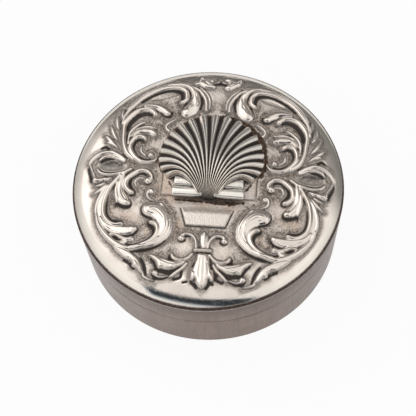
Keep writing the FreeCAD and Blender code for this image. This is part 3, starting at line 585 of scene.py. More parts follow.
# Veins of the palmette
MIDDLE_VEINS = [
    (0.4, [(1.3, -23.6, 0.1), (1.75, -25.8, 0.17), (1.85, -27.8, 0.15)]),
    (0.4, [(-1.0, -23.8, 0.1), (-1.35, -25.8, 0.17), (-1.3, -27.8, 0.15)]),
    (0.18, [(-0.3, -22.6, 0.08), (-0.4, -25.6, 0.13), (-0.2, -28.8, 0.08)]),
    (0.18, [(0.5, -22.6, 0.08), (0.7, -25.6, 0.13), (0.8, -28.8, 0.08)]),
    (0.5, [(2.05, -23.7, 0.12), (2.35, -25.0, 0.36), (2.4, -26.3, 0.18)]),
    (0.5, [(-1.7, -23.7, 0.12), (-1.95, -25.0, 0.36), (-1.85, -26.3, 0.18)])]
# Recesses, cut in and painted dark with tarnish and the shade under overhanging forms, on both sides
RECESSES = [
    [(16.0, -9.9, 0.12), (15.95, -11.0, 0.25), (15.4, -12.0, 0.42), (14.2, -12.6, 0.45),
     (13.0, -12.65, 0.3), (12.2, -12.7, 0.12)],
    [(13.9, -14.1, 0.12), (13.5, -14.9, 0.42), (12.6, -15.5, 0.4), (12.1, -16.5, 0.3),
     (12.25, -17.6, 0.2), (13.1, -18.9, 0.15), (14.6, -20.0, 0.14), (16.6, -20.7, 0.14),
     (18.2, -20.7, 0.12)],
    [(9.0, -18.7, 0.12), (10.6, -20.3, 0.28), (12.4, -21.3, 0.42), (14.5, -22.0, 0.42),
     (16.4, -22.2, 0.15)],
    [(19.0, -9.3, 0.15), (19.2, -10.3, 0.32), (20.5, -10.6, 0.4), (21.7, -10.3, 0.35),
     (22.5, -10.0, 0.3), (22.8, -10.9, 0.12)],
    [(16.4, -0.9, 0.12), (17.8, -0.5, 0.2), (19.3, -1.4, 0.3), (20.2, -2.7, 0.34), (20.2, -4.0, 0.32),
     (19.4, -5.0, 0.25), (18.7, -5.8, 0.2), (18.6, -6.7, 0.2), (19.4, -7.1, 0.2)],
    [(25.2, -8.0, 0.12), (25.1, -11.0, 0.2), (24.5, -13.2, 0.24), (23.1, -14.5, 0.24),
     (21.6, -14.6, 0.22), (20.4, -14.5, 0.12)],
    [(16.2, -16.2, 0.14), (16.6, -17.3, 0.28), (17.6, -18.0, 0.36), (18.9, -18.4, 0.22),
     (20.8, -18.4, 0.12)],
    [(20.7, -19.8, 0.14), (21.3, -19.3, 0.3), (21.8, -19.1, 0.18)],
    [(24.5, -0.9, 0.12), (26.5, -1.2, 0.2), (28.2, -0.9, 0.15)],
    [(25.6, 2.9, 0.12), (27.3, 2.6, 0.28), (28.5, 1.7, 0.22)],
    [(31.8, -0.2, 0.12), (31.1, -1.9, 0.22), (30.4, -3.4, 0.25), (30.2, -4.2, 0.15)],
    [(18.4, 9.0, 0.12), (19.4, 9.4, 0.25), (20.5, 9.0, 0.34), (21.0, 7.7, 0.32), (20.8, 6.1, 0.26),
     (19.7, 4.7, 0.22), (17.9, 3.8, 0.18), (16.0, 3.7, 0.14)],
    [(17.6, 17.3, 0.22), (19.0, 17.5, 0.4), (20.8, 16.8, 0.5), (22.1, 15.3, 0.5), (23.0, 13.8, 0.5),
     (23.5, 12.3, 0.4)],
    [(15.8, 13.0, 0.1), (17.4, 13.5, 0.2), (19.2, 13.6, 0.2), (20.6, 13.0, 0.14)],
    [(10.2, 22.9, 0.16), (10.4, 24.2, 0.4), (10.9, 25.4, 0.45), (12.6, 25.7, 0.32), (15.0, 25.2, 0.3),
     (18.0, 23.6, 0.25), (20.8, 21.2, 0.2)],
    [(4.9, 20.4, 0.16), (4.7, 22.4, 0.2), (5.0, 24.2, 0.14)],
    [(3.5, -25.2, 0.18), (5.0, -26.4, 0.3), (6.6, -27.0, 0.36), (8.4, -27.0, 0.36), (9.9, -26.5, 0.2),
     (10.9, -25.0, 0.16), (11.8, -24.0, 0.14)],
    [(3.7, -26.6, 0.2), (4.0, -28.0, 0.34), (5.4, -28.7, 0.3)],
    [(2.2, -28.9, 0.25), (3.2, -29.2, 0.25)],
    [(3.6, -23.9, 0.1), (4.8, -24.0, 0.18), (6.2, -23.7, 0.15), (7.1, -23.3, 0.2), (7.4, -22.6, 0.12)],
    [(7.2, -28.4, 0.1), (8.6, -28.8, 0.24), (10.0, -28.7, 0.22), (10.9, -28.0, 0.12)],
    [(14.2, -23.8, 0.16), (13.3, -25.2, 0.26), (12.7, -26.6, 0.24), (12.3, -27.9, 0.14)],
    [(3.0, -16.9, 0.1), (4.0, -16.9, 0.2), (4.6, -17.2, 0.18)],
    [(4.1, -18.1, 0.2), (4.9, -18.4, 0.28), (5.5, -18.3, 0.16)],
    [(15.6, -26.9, 0.14), (16.8, -25.7, 0.22), (18.4, -24.9, 0.16)],
    [(27.2, 6.0, 0.2), (28.2, 6.4, 0.4), (29.2, 5.9, 0.25)],
    [(14.9, -2.9, 0.14), (15.5, -3.4, 0.2), (16.3, -3.1, 0.14)],
    [(12.2, 19.0, 0.15), (12.6, 17.4, 0.2), (14.0, 17.4, 0.2), (15.4, 18.4, 0.15)],
    [(9.9, 18.6, 0.14), (9.6, 20.2, 0.2), (8.9, 22.0, 0.14)]]
# Recesses on the middle line
MIDDLE_RECESSES = [
    [(-1.4, -21.0, 0.14), (1.4, -21.0, 0.14)],
    [(-2.3, -29.0, 0.15), (-1.5, -29.5, 0.3), (-0.8, -30.4, 0.2)],
    [(2.2, -29.4, 0.25), (1.6, -30.4, 0.2)],
    [(-1.0, 29.0, 0.25), (0.4, 29.2, 0.5), (1.8, 29.0, 0.25)],
    [(0.5, 29.2, 0.3), (0.5, 30.4, 0.15)]]
# Shallow bowls in the ground: x, y, half length, half width, turn in degrees, depth
BOWLS = [
    (25.6, 0.9, 4.2, 1.7, -4.0, 0.3), (29.8, 1.2, 0.7, 0.4, -60.0, 0.3),
    (14.4, 24.0, 5.2, 1.0, -22.0, 0.25), (20.0, -3.4, 1.9, 0.45, 75.0, 0.2)]
print(len(LEAVES), "leaves,", len(VEINS), "veins and", len(RECESSES), "recesses to a side")

# %% [markdown]
# The relief is built as a height over a fine square field. Along each line the height follows a
# rounded section, and a leaf swells from its outline. The highest form wins where two meet, as it
# does when an engraver cuts one scroll over another.

# %% Field and lines
STEP = 0.1
HALF_FIELD = 34.0
RING = 2.2
BROADEN = 1.3
THINNEST = 0.08
EMBOSS = 0.85
LEAF_EDGE = 0.8
LINE_GAP = 0.62
LINE_DEPTH = 0.22
LINED_FROM = 0.75
LINED_FULL = 1.2
FLUTE_DEPTH = 0.45
TINY = 1e-9
axis = np.arange(-HALF_FIELD, HALF_FIELD + STEP / 2, STEP)
field_x, field_y = np.meshgrid(axis, axis)
relief = np.zeros_like(field_x)
beside = np.full_like(field_x, RING)


def smooth_line(points, closed=False, steps=8):
    """A smooth line through chosen points, as close points."""
    knots = np.array(points, float)
    if len(knots) == 2:
        return np.linspace(knots[0], knots[1], steps)
    if closed:
        padded = np.vstack([knots[-1:], knots, knots[:2]])
    else:
        padded = np.vstack([2 * knots[0] - knots[1], knots, 2 * knots[-1] - knots[-2]])
    share = np.linspace(0, 1, steps, endpoint=False)[:, None]
    runs = []
    for a, b, c, d in zip(padded, padded[1:], padded[2:], padded[3:]):
        runs.append(0.5 * (2 * b + (c - a) * share + (2 * a - 5 * b + 4 * c - d) * share ** 2
                           + (3 * b - a - 3 * c + d) * share ** 3))
    return np.vstack(runs + ([] if closed else [knots[-1:]]))


def soft_step(values, low, high):
    """A smooth step from 0 at low to 1 at high."""
    share = np.clip((values - low) / (high - low), 0, 1)
    return share * share * (3 - 2 * share)


def bell(values, middle, width):
    """A bell curve, 1 at its middle."""
    return np.exp(-((values - middle) / width) ** 2)


def window(low, high):
    """The part of the field's axis between two places."""
    first = max(int((low + HALF_FIELD) / STEP), 0)
    last = min(int((high + HALF_FIELD) / STEP) + 2, len(axis))
    return slice(first, last)


print("field of", len(axis), "by", len(axis), "places")


# %% [markdown]
# Two tools are enough for the whole wreath: one strikes a stroke with a rounded section, the other
# raises a leaf inside its outline. Both also keep the distance to the nearest form, which the
# tarnish and the painted shade need later.

# %% The engraver's tools
def off_run(x, y, a, b):
    """The share along the straight run a to b that is nearest to x, y, and the offset from it."""
    run = b[:2] - a[:2]
    off_x = x - a[0]
    off_y = y - a[1]
    share = np.clip((off_x * run[0] + off_y * run[1]) / (run @ run + TINY), 0, 1)
    return share, off_x - share * run[0], off_y - share * run[1]


def stroke_section(points, broaden=1.0):
    """For each place near a stroke: its gap to the stroke's edge, and its place across it."""
    line = smooth_line(points)
    line[:, 2] = np.maximum(line[:, 2] * broaden, THINNEST)
    gap = np.full_like(field_x, RING)
    across = np.zeros_like(field_x)
    for a, b in zip(line, line[1:]):
        reach = max(a[2], b[2]) + RING
        cols = window(min(a[0], b[0]) - reach, max(a[0], b[0]) + reach)
        rows = window(min(a[1], b[1]) - reach, max(a[1], b[1]) + reach)
        share, off_x, off_y = off_run(field_x[rows, cols], field_y[rows, cols], a, b)
        half = a[2] + share * (b[2] - a[2])
        distance = np.hypot(off_x, off_y)
        side = np.sign((b[0] - a[0]) * off_y - (b[1] - a[1]) * off_x)
        closer = distance - half < gap[rows, cols]
        gap[rows, cols][closer] = (distance - half)[closer]
        across[rows, cols][closer] = (side * distance / half)[closer]
    return gap, across


def strike(height, points, flutes=1):
    """Adds one stroke to the relief, lined along its edges and fluted if it is a broad leaf."""
    gap, across = stroke_section(points, BROADEN)
    inside = gap < 0
    place = np.clip(across[inside], -1, 1)
    section = np.cos(place * math.pi / 2) ** 0.9
    half = -gap[inside] / (1.001 - np.abs(place))
    engraved = 0.5 - 0.5 * np.cos(-gap[inside] * 2 * math.pi / LINE_GAP)
    section -= LINE_DEPTH * soft_step(half, LINED_FROM, LINED_FULL) * engraved
    if flutes > 1:
        waves = 0.5 - 0.5 * np.cos(math.pi * flutes * (place + 1))
        section = section * (1 - FLUTE_DEPTH + FLUTE_DEPTH * waves)
    relief[inside] = np.maximum(relief[inside], EMBOSS * height * section)
    np.minimum(beside, gap, out=beside)


def raise_leaf(height, outline):
    """Adds a leaf that swells from its outline."""
    loop = smooth_line(outline, closed=True)
    low = loop.min(0) - RING
    high = loop.max(0) + RING
    rows, cols = window(low[1], high[1]), window(low[0], high[0])
    x, y = field_x[rows, cols], field_y[rows, cols]
    inside = np.zeros(x.shape, bool)
    nearest = np.full(x.shape, RING)
    for a, b in zip(loop, np.roll(loop, -1, axis=0)):
        crossing = a[0] + (y - a[1]) * (b[0] - a[0]) / (b[1] - a[1] + TINY)
        inside ^= ((a[1] > y) != (b[1] > y)) & (x < crossing)
        share, off_x, off_y = off_run(x, y, a, b)
        nearest = np.minimum(nearest, np.hypot(off_x, off_y))
    swell = np.clip(nearest / LEAF_EDGE, 0, 1)
    swell = EMBOSS * height * np.sin(swell * math.pi / 2) * inside
    relief[rows, cols] = np.maximum(relief[rows, cols], swell)
    beside[rows, cols] = np.minimum(beside[rows, cols], np.where(inside, -nearest, nearest))


def both_sides(points):
    """The right half's points, and the same points mirrored and turned for the left half."""
    right = np.array(points, float)
    left = right.copy()
    x, y = -right[:, 0], right[:, 1]
    left[:, 0] = x * math.cos(LEFT_TURN) - y * math.sin(LEFT_TURN)
    left[:, 1] = x * math.sin(LEFT_TURN) + y * math.cos(LEFT_TURN)
    return [right, left]


print("tools ready")

# %% [markdown]
# With the tools ready, the die is struck: scrolls, leaves and knobs rise from the ground, and
# then the veins are cut into them.

# %% Strike the relief
for name, height, points in SCROLLS:
    for line in both_sides(points):
        strike(height, line, FLUTED.get(name, 1))
for name, height, points in MIDDLE:
    strike(height, points)
for name, height, where_on, outline in LEAVES:
    for loop in both_sides(outline) if where_on == "both" else [outline]:
        raise_leaf(height, loop)
for x, y, radius, height in KNOBS:
    for spot in both_sides([(x, y, radius)]):
        strike(height, [spot[0], spot[0] + (0.02, 0.0, 0.0)])
for depth, points in [(d, line) for d, p in VEINS for line in both_sides(p)] + MIDDLE_VEINS:
    gap, across = stroke_section(points)
    relief -= depth * np.where(gap < 0, 1 - np.abs(across), 0)
print("relief up to", round(float(relief.max()), 2), "mm over",
      round(float((beside < 0).mean()) * 100, 1), "% of the field")

# %% [markdown]
# Recesses and shallow bowls are cut into the ground between the forms, and a fine groove runs
# along the foot of each form.

# %% Recesses and bowls
RECESS_DEPTH = 0.2
FOOT_DEPTH = 0.1
recess_field = np.zeros_like(field_x)
beside_form = soft_step(beside, -0.12, 0.06)
for points in [line for p in RECESSES for line in both_sides(p)] + MIDDLE_RECESSES:
    gap, across = stroke_section(points)
    recess_field = np.maximum(recess_field, 1 - soft_step(gap, -0.22, 0.28))
recess_field *= beside_form
foot_field = bell(beside, 0.12, 0.27)
relief = relief - RECESS_DEPTH * recess_field - FOOT_DEPTH * foot_field * beside_form
for x, y, length, width, turn, depth in BOWLS:
    for spot, flip in zip(both_sides([(x, y, 0)]), (1, -1)):
        angle = math.radians(turn) * flip
        dx, dy = field_x - spot[0][0], field_y - spot[0][1]
        along = (dx * math.cos(angle) + dy * math.sin(angle)) / length
        cross = (-dx * math.sin(angle) + dy * math.cos(angle)) / width
        bowl = np.clip(1 - along ** 2 - cross ** 2, 0, 1)
        relief = relief - depth * soft_step(bowl, 0.0, 0.8) * beside_form
print("deepest", round(float(relief.min()), 2), "mm")

# %% [markdown]
# The shell stands on a raised panel, and a plaque tapers from it to the front. Both stop where the
# scrolls begin. A light blur then stands for the soft draw of stamped sheet.

# %% Panel and plaque
PANEL_HALF = 11.9
PANEL_FRONT = -5.6
PANEL_BACK = 10.5
PANEL_RISE = 0.25
PANEL_GROOVE = 0.1
PLAQUE_BACK = -8.9
PLAQUE_FRONT = -13.9
PLAQUE_RISE = 0.35
BACK_HALF = 6.6
FRONT_HALF = 4.9
EDGE_LINE_DEPTH = 0.07
SHEET_DRAW = 0.12


def blurred(values, width):
    """A soft mean over a square of about this width, in millimetres."""
    span = max(int(round(width / STEP / 2)), 1)
    cells = 2 * span + 1
    for _ in range(3):
        for turn in (0, 1):
            padded = np.pad(values, [(span, span) if k == turn else (0, 0) for k in (0, 1)],
                            mode="edge")
            total = np.insert(np.cumsum(padded, axis=turn), 0, 0, axis=turn)
            high = np.take(total, range(cells, total.shape[turn]), axis=turn)
            low = np.take(total, range(0, total.shape[turn] - cells), axis=turn)
            values = (high - low) / cells
    return values


inside_panel = np.minimum(PANEL_HALF - np.abs(field_x),
                          np.minimum(field_y - PANEL_FRONT, PANEL_BACK - field_y))
panel = PANEL_RISE * soft_step(inside_panel, -0.12, 0.12)
panel -= PANEL_GROOVE * bell(inside_panel, -0.25, 0.15)
to_back = (field_y - PLAQUE_FRONT) / (PLAQUE_BACK - PLAQUE_FRONT)
plaque_half = FRONT_HALF + (BACK_HALF - FRONT_HALF) * to_back
inside_plaque = np.minimum(plaque_half - np.abs(field_x), field_y - PLAQUE_FRONT)
plaque_fade = soft_step(PLAQUE_BACK - field_y, -0.4, 1.7)
plaque = PLAQUE_RISE * soft_step(inside_plaque, -0.15, 0.3) * plaque_fade
edge_lines = bell(inside_plaque, -0.15, 0.2) * (field_y < PLAQUE_BACK)
edge_lines = np.maximum(edge_lines, 0.5 * bell(inside_panel, -0.12, 0.18))
plaque -= EDGE_LINE_DEPTH * edge_lines
relief = blurred(np.where(beside > 0.3, relief + panel + plaque, relief), SHEET_DRAW)
print("panel", 2 * PANEL_HALF, "mm wide, raised", PANEL_RISE, "mm")

# %% [markdown]
# The cavity value says where the surface goes dark, from tarnish where polish never reaches and
# from painted shade: in recesses, at the foot of each form, and wherever the surface lies below
# the mean height around it. The ground value says where the matting shows, and the open value
# where that matting is worn paler.

# %% Cavity, ground and wear
# Places rubbed clear of dirt: x, y, radius
WORN_SPOTS = [(-17.5, -10.7, 2.6), (4.8, -20.3, 2.6), (-4.7, -19.7, 2.2), (0.0, 25.0, 2.2),
              (18.2, -8.5, 2.4)]
FOOT_DIRT_AND_SHADE = 0.82
EDGE_DARKENING = 1.3
RUBBED_CLEAR = 0.6
MATTING_IN = 26.0
MATTING_OUT = 29.5
CUP_AT = (25.6, 0.9, 0)
CUP_LENGTH = 4.4
CUP_WIDTH = 2.2
# Painted shade with tarnish: darker below the mean height around, at each form's foot and in recesses
hollow_near = blurred(relief, 0.5) - relief
hollow_wide = blurred(relief, 2.2) - relief
cavity_field = np.clip(hollow_near / 0.12, 0, 1) * 0.6 + np.clip(hollow_wide / 0.34, 0, 1) * 0.4
cavity_field = np.maximum(cavity_field, FOOT_DIRT_AND_SHADE * foot_field) + recess_field
cavity_field = np.clip(cavity_field + EDGE_DARKENING * edge_lines * (beside > 0.2), 0, 1)
cavity_field = blurred(cavity_field, SHEET_DRAW)
ground_field = soft_step(blurred(beside, 0.2), 0.05, 0.4)
open_field = soft_step(blurred(beside, 0.5), 0.15, 2.5)
on_plaque = soft_step(inside_plaque, 0.0, 0.6) * plaque_fade
ground_field *= 1 - RUBBED_CLEAR * on_plaque
open_field = np.maximum(open_field, on_plaque)
for x, y, size in WORN_SPOTS:
    worn_here = np.exp(-((field_x - x) ** 2 + (field_y - y) ** 2) / size ** 2)
    open_field = np.maximum(open_field, worn_here)
    ground_field *= 1 - RUBBED_CLEAR * worn_here * beside_form
ragged = np.hypot(field_x, field_y) - 1.5 * np.cos(np.arctan2(field_y, field_x) * 9)
near_form = 1 - soft_step(blurred(beside, 0.3), 0.4, 1.7)
ground_field *= np.maximum(1 - soft_step(ragged, MATTING_IN, MATTING_OUT), 0.85 * near_form)
# Painted shade in the cup's bowl, darker towards its back
for spot in both_sides([CUP_AT]):
    dx, dy = field_x - spot[0][0], field_y - spot[0][1]
    in_cup = (dx / CUP_LENGTH) ** 2 + (dy / CUP_WIDTH) ** 2
    cup = (1 - soft_step(in_cup, 0.3, 1.1)) * beside_form
    ground_field *= 1 - 0.8 * cup
    cavity_field = np.maximum(cavity_field, (0.48 + 0.25 * soft_step(dy, -1.6, 1.6)) * cup)
print("mean cavity", round(float(cavity_field.mean()), 3), "and ground",
      round(float(ground_field.mean()), 3))

# %% [markdown]
# Cement has squeezed out along the shell's edge and dried to a dark crust, mostly at the upper
# right and in front of the hinge edge, where the dark strokes also paint the shadow under the
# hinge rolls. It is a few broad strokes in a field of its own.

# %% Dried cement
# Each entry: height, points as (x, y, half width)
CRUSTS_AND_HINGE_SHADOW = [
    (0.5, [(1.6, 18.5, 0.3), (3.6, 18.2, 0.5), (6.0, 17.3, 0.6), (8.6, 15.9, 0.65),
           (10.9, 13.8, 0.6), (12.8, 11.0, 0.75), (13.7, 8.6, 0.5)]),
    (0.1, [(13.2, 9.6, 0.4), (13.9, 6.6, 0.5), (13.8, 3.6, 0.5), (12.9, 0.8, 0.4)]),
    # These two strokes in front of the hinge are dark crust and the painted shadow under the rolls
    (0.1, [(0.6, -7.1, 0.4), (3.0, -7.25, 0.65), (6.0, -7.2, 0.65), (8.9, -6.9, 0.4)]),
    (0.05, [(-8.6, -6.95, 0.3), (-5.0, -7.0, 0.34), (0.5, -7.05, 0.34)]),
    (0.08, [(9.5, -3.4, 0.25), (10.0, -2.6, 0.35), (10.6, -1.6, 0.3)]),
    (0.06, [(-9.6, -3.4, 0.25), (-10.4, -2.0, 0.3)])]
LUMP_SEED = 7
crust_and_shadow_field = np.zeros_like(field_x)
lumps_field = blurred(np.random.default_rng(LUMP_SEED).random(field_x.shape), 0.5)
lumps_field = (lumps_field - lumps_field.mean()) / lumps_field.std()
for height, points in CRUSTS_AND_HINGE_SHADOW:
    gap, across = stroke_section(points)
    covered = 1 - soft_step(gap + lumps_field * 0.12, -0.15, 0.1)
    crust_and_shadow_field = np.maximum(crust_and_shadow_field, covered)
    relief = relief + covered * height * (1 + 0.35 * lumps_field)
print("crust on", round(float((crust_and_shadow_field > 0.5).sum()) * STEP * STEP, 1), "mm2")

# %% [markdown]
# The lid's plate is flat in the middle and rounds down to the rim. The stamped field is a mesh of
# closed rings whose points are lifted by the height field, in three bands so that each mesh stays
# light. Normals come from the whole field, so the bands meet without a line.

# %% Mesh of the stamped bands
AROUND = 1000
BAND_IN = 6.4
BAND_OUT = 32.9
BAND_RINGS = 223
BANDS = {"inner": (0, 74), "middle": (74, 148), "outer": (148, 222)}
FIELDS = {"cavity": cavity_field, "ground": ground_field, "open": open_field,
          "crust_and_shadow": crust_and_shadow_field}


def plate_height(radius):
    """Height of the plain plate at a distance from the lid's axis."""
    over = np.maximum(radius - CROWN_R, 0)
    return SHOULDER_Z + np.sqrt(SHOULDER_R ** 2 - over ** 2)


def sample(field, x, y):
    """Values of a field between its grid points."""
    col = np.clip((x - ORNAMENT_X + HALF_FIELD) / STEP, 0, len(axis) - 1.001)
    row = np.clip((y + HALF_FIELD) / STEP, 0, len(axis) - 1.001)
    left, low = col.astype(int), row.astype(int)
    fx, fy = col - left, row - low
    bottom = field[low, left] * (1 - fx) + field[low, left + 1] * fx
    top = field[low + 1, left] * (1 - fx) + field[low + 1, left + 1] * fx
    return bottom * (1 - fy) + top * fy


radii = np.linspace(BAND_IN, BAND_OUT, BAND_RINGS)
angles = np.linspace(0, 2 * math.pi, AROUND, endpoint=False)
ring_r, ring_a = np.meshgrid(radii, angles, indexing="ij")
band_x = ring_r * np.cos(ring_a)
band_y = ring_r * np.sin(ring_a)
edge_fade = 1 - soft_step(ring_r, BAND_OUT - 0.6, BAND_OUT - 0.1)
band_z = plate_height(ring_r) + sample(relief, band_x, band_y) * edge_fade
band_points = np.stack([band_x, band_y, band_z], -1)
outward = np.gradient(band_points, axis=0)
onward = np.roll(band_points, -1, axis=1) - np.roll(band_points, 1, axis=1)
band_normals = np.cross(outward, onward)
band_normals /= np.linalg.norm(band_normals, axis=-1, keepdims=True)
lid_bands = []
for label, (first, last) in BANDS.items():
    rows = slice(first, last + 1)
    faces = [face[::-1] for face in ring_faces(last - first + 1, AROUND)]
    if first == 0:
        faces.append(tuple(range(AROUND)))
    band = mesh_piece("lid_relief_" + label, band_points[rows].reshape(-1, 3), faces,
                      stamped_silver)
    for name, field in FIELDS.items():
        values = sample(field, band_x[rows], band_y[rows]) * edge_fade[rows]
        write_attribute(band, name, values.ravel())
    band.data.normals_split_custom_set_from_vertices(band_normals[rows].reshape(-1, 3))
    lid_bands.append(band)
    print(band.name, len(faces), "faces; first looks up:", band.data.polygons[0].normal.z > 0)

# %% [markdown]
# Outside the stamping the plate is plain. Its outline runs over the shoulder, round the rim and
# back under the plate, and is turned about the lid's axis. A painted dark reflection lies along
# the rim, and painted shade dulls the far side.

# %% Mesh of the border, rim and underside
UNDER_R = SHOULDER_R - LID_PLATE
SMALL_EDGE = 0.02
RIM_DARK_LINE = (34.1, 34.6)
RIM_FAR_SHADE = (33.0, 34.2)
rim_in = BOX_R - RIM_ROUND - CROWN_R
round_z = SHOULDER_Z + math.sqrt((SHOULDER_R - RIM_ROUND) ** 2 - rim_in ** 2)
round_start = math.atan2(round_z - SHOULDER_Z, rim_in)
touch_r = CROWN_R + SHOULDER_R * math.cos(round_start)
outline = [(r, float(plate_height(r))) for r in np.linspace(BAND_OUT, touch_r, 12)]
for turn in np.linspace(round_start, 0, 7)[1:]:
    outline.append((BOX_R - RIM_ROUND + RIM_ROUND * math.cos(turn),
                    round_z + RIM_ROUND * math.sin(turn)))
outline += [(BOX_R, SKIRT_TOP + SMALL_EDGE), (BOX_R - SMALL_EDGE, SKIRT_TOP),
            (SKIRT_IN, SKIRT_TOP)]
for r in np.linspace(SKIRT_IN, CROWN_R, 8):
    outline.append((r, SHOULDER_Z + math.sqrt(UNDER_R ** 2 - (r - CROWN_R) ** 2)))
border_points = [(r * math.cos(a), r * math.sin(a), z) for r, z in outline for a in angles]
border_faces = [face[::-1] for face in ring_faces(len(outline), AROUND)]
under_face = tuple(range(len(border_points) - AROUND, len(border_points)))
lid_border = mesh_piece("lid_border", border_points, border_faces + [under_face[::-1]],
                        border_silver)
# Painted dark reflection along the rim's edge, and painted shade on the far side of the border
rim_painted_shade = []
far_side = np.maximum(np.sin(angles), 0) ** 0.5
for r, z in outline:
    on_top = z > SKIRT_TOP + 0.1
    at_edge = soft_step(r, *RIM_DARK_LINE) * on_top * (0.8 - 0.1 * far_side)
    far_shade = soft_step(r, *RIM_FAR_SHADE) * on_top * 0.4 * far_side
    rim_painted_shade += list(np.maximum(at_edge, far_shade))
write_attribute(lid_border, "cavity", rim_painted_shade)
print("lid_border", len(border_faces), "faces; first up:",
      lid_border.data.polygons[0].normal.z > 0, "underside down:",
      lid_border.data.polygons[len(border_faces)].normal.z < 0)

# %% [markdown]
# The scallop shell is a casting. Its ribs all leave the beak and bend outwards to a round edge,
# so one rule places every point: a bent line from the beak for each place across the fan, a
# domed height along it and a wave across it. Geometry Nodes hold that rule with named inputs.

# %% Inputs of the fan and places on it
RIBS = 19
RIB_HEIGHT = 0.62
FAN_INPUTS = {
    "Ribs": float(RIBS), "Rib height": RIB_HEIGHT, "Groove depth": 0.3, "Edge radius": 13.45,
    "Edge centre": 4.8, "Half sweep": math.radians(138), "Fold": math.radians(17),
    "Lean": math.radians(33), "Middle reach": 12.5, "Side reach": 8.2, "Beak front": 6.7,
    "Beak half width": 2.2, "Crown": 5.3, "Edge height": 1.0, "Seat": 0.45, "Front height": 1.0,
    "Shift": ORNAMENT_X, "Ground": GROUND}
FAN_COLUMNS = RIBS * 14 + 7
FAN_ROWS = 118
TOP_SHARE = 0.80
LIP_SHARE = 0.84
SIDE_SHARE = 1.022
fan_tree, given, fan_out = start_group(
    "Scallop fan",
    [(label, FLOAT, start) for label, start in FAN_INPUTS.items()]
    + [("Material", "NodeSocketMaterial", None)],
    [("Geometry", "NodeSocketGeometry")], "GeometryNodeTree")
sheet = node(fan_tree, "GeometryNodeMeshGrid",
             {"Size X": 2.0, "Size Y": 1.0, "Vertices X": FAN_COLUMNS, "Vertices Y": FAN_ROWS})
where = node(fan_tree, "GeometryNodeInputPosition")
parts = node(fan_tree, "ShaderNodeSeparateXYZ", {0: where.outputs[0]})
wide = Term(fan_tree, parts.outputs["X"]) * SIDE_SHARE
run = Term(fan_tree, parts.outputs["Y"]) + 0.5
across = wide.least(1.0).most(-1.0)
over_side = ((wide.size() - 1.0) / (SIDE_SHARE - 1.0)).most(0.0)
along_top = (run / TOP_SHARE).least(1.0)
lip = ((run - TOP_SHARE) / (LIP_SHARE - TOP_SHARE)).most(0.0).least(1.0)
back_run = ((run - LIP_SHARE) / (1.0 - LIP_SHARE)).most(0.0)
along = along_top - back_run * 0.9
left_over = 1.0 - along
print("fan of", RIBS, "ribs on", FAN_COLUMNS, "by", FAN_ROWS, "points")


# %% [markdown]
# Seen from above, each rib is a bent line from the narrow beak to the edge. The outer ribs lean out
# at the beak and end well forward, so the edge is more than a half circle.

# %% Bent ribs
def bent(start, middle, end):
    """A place along a bent line from the beak to the edge."""
    return left_over * left_over * start + along * left_over * middle * 2.0 + along * along * end


wave = (across * given["Ribs"] * math.pi).cos() * 0.5 + 0.5
crest = ((wave - 0.14) / 0.86).most(0.0) ** 0.75
end_angle = across * given["Half sweep"] - across.sign() * (across.size() ** 2.5) * given["Fold"]
lean = across.sign() * (across.size() ** 1.2) * given["Lean"]
edge_r = given["Edge radius"] * (1.0 - across.size().ramp(0.78, 1.0) * 0.1)
edge_r = edge_r + (wave - 0.6) * 0.3
beak_x = across * given["Beak half width"]
beak_y = given["Beak front"] * -1.0
reach = given["Middle reach"] + (given["Side reach"] - given["Middle reach"]) * across * across
fan_x = bent(beak_x, beak_x + reach * lean.sin(), end_angle.sin() * edge_r) + given["Shift"]
fan_y = bent(beak_y, beak_y + reach * lean.cos(),
             end_angle.cos() * edge_r + given["Edge centre"])
print("ribs in", len(fan_tree.nodes), "nodes")

# %% [markdown]
# The shell is highest a little in front of its middle and falls to the edge. The ribs start low at
# the beak and grow outwards. The underside follows the dome and meets the top at the lip. Tarnish
# and painted shade lie in the grooves, and painted shade darkens the beak.

# %% Heights of the fan
swell = ((along * 0.8 + 0.2) * math.pi).sin()
side = 1.0 - across * across * 0.28
dome = given["Edge height"] + (given["Crown"] - given["Edge height"]) * side * swell
rise = (along * 0.85 + 0.15).root()
rib = given["Rib height"] * rise * crest
front = along.ramp(0.0, 0.06)
top_z = blend(front, given["Front height"] + rib,
              dome + rib - given["Groove depth"] * rise * (1.0 - crest))
under_z = blend(front, given["Front height"],
                given["Seat"] + (dome - given["Edge height"]) * 0.85)
closing = lip.most(over_side.least(1.0)).most(back_run.ramp(0.0, 0.01))
fan_z = blend(closing, top_z, under_z) + given["Ground"]
spot = node(fan_tree, "ShaderNodeCombineXYZ", {0: fan_x, 1: fan_y, 2: fan_z})
metres = node(fan_tree, "ShaderNodeVectorMath", {0: spot.outputs[0], "Scale": MM},
              operation="SCALE")
# Tarnish and painted shade in the grooves, painted shade at the beak, outermost edge a little lighter
groove = (1.0 - crest.ramp(0.04, 0.72)) * (rise * 0.35 + 0.6)
shade = groove.most((1.0 - along.ramp(0.0, 0.08)) * 0.72)
shade = shade * (1.0 - across.size().ramp(0.97, 1.0) * 0.4)
keep = node(fan_tree, "GeometryNodeStoreNamedAttribute",
            {"Geometry": sheet.outputs["Mesh"], "Name": "cavity", "Value": shade},
            data_type="FLOAT", domain="POINT")
placed = node(fan_tree, "GeometryNodeSetPosition",
              {"Geometry": keep.outputs[0], "Position": metres.outputs[0]})
smooth = node(fan_tree, "GeometryNodeSetShadeSmooth", {"Geometry": placed.outputs[0]})
real = node(fan_tree, "GeometryNodeRealizeInstances", {"Geometry": smooth.outputs[0]})
dressed = node(fan_tree, "GeometryNodeSetMaterial",
               {"Geometry": real.outputs[0], "Material": given["Material"]})
feed(fan_tree, fan_out, {"Geometry": dressed.outputs[0]})
print("fan rule in", len(fan_tree.nodes), "nodes")

# %% [markdown]
# The rule runs once on an empty carrier. What it makes is kept as a plain mesh, so that the shell
# is a piece like the others.

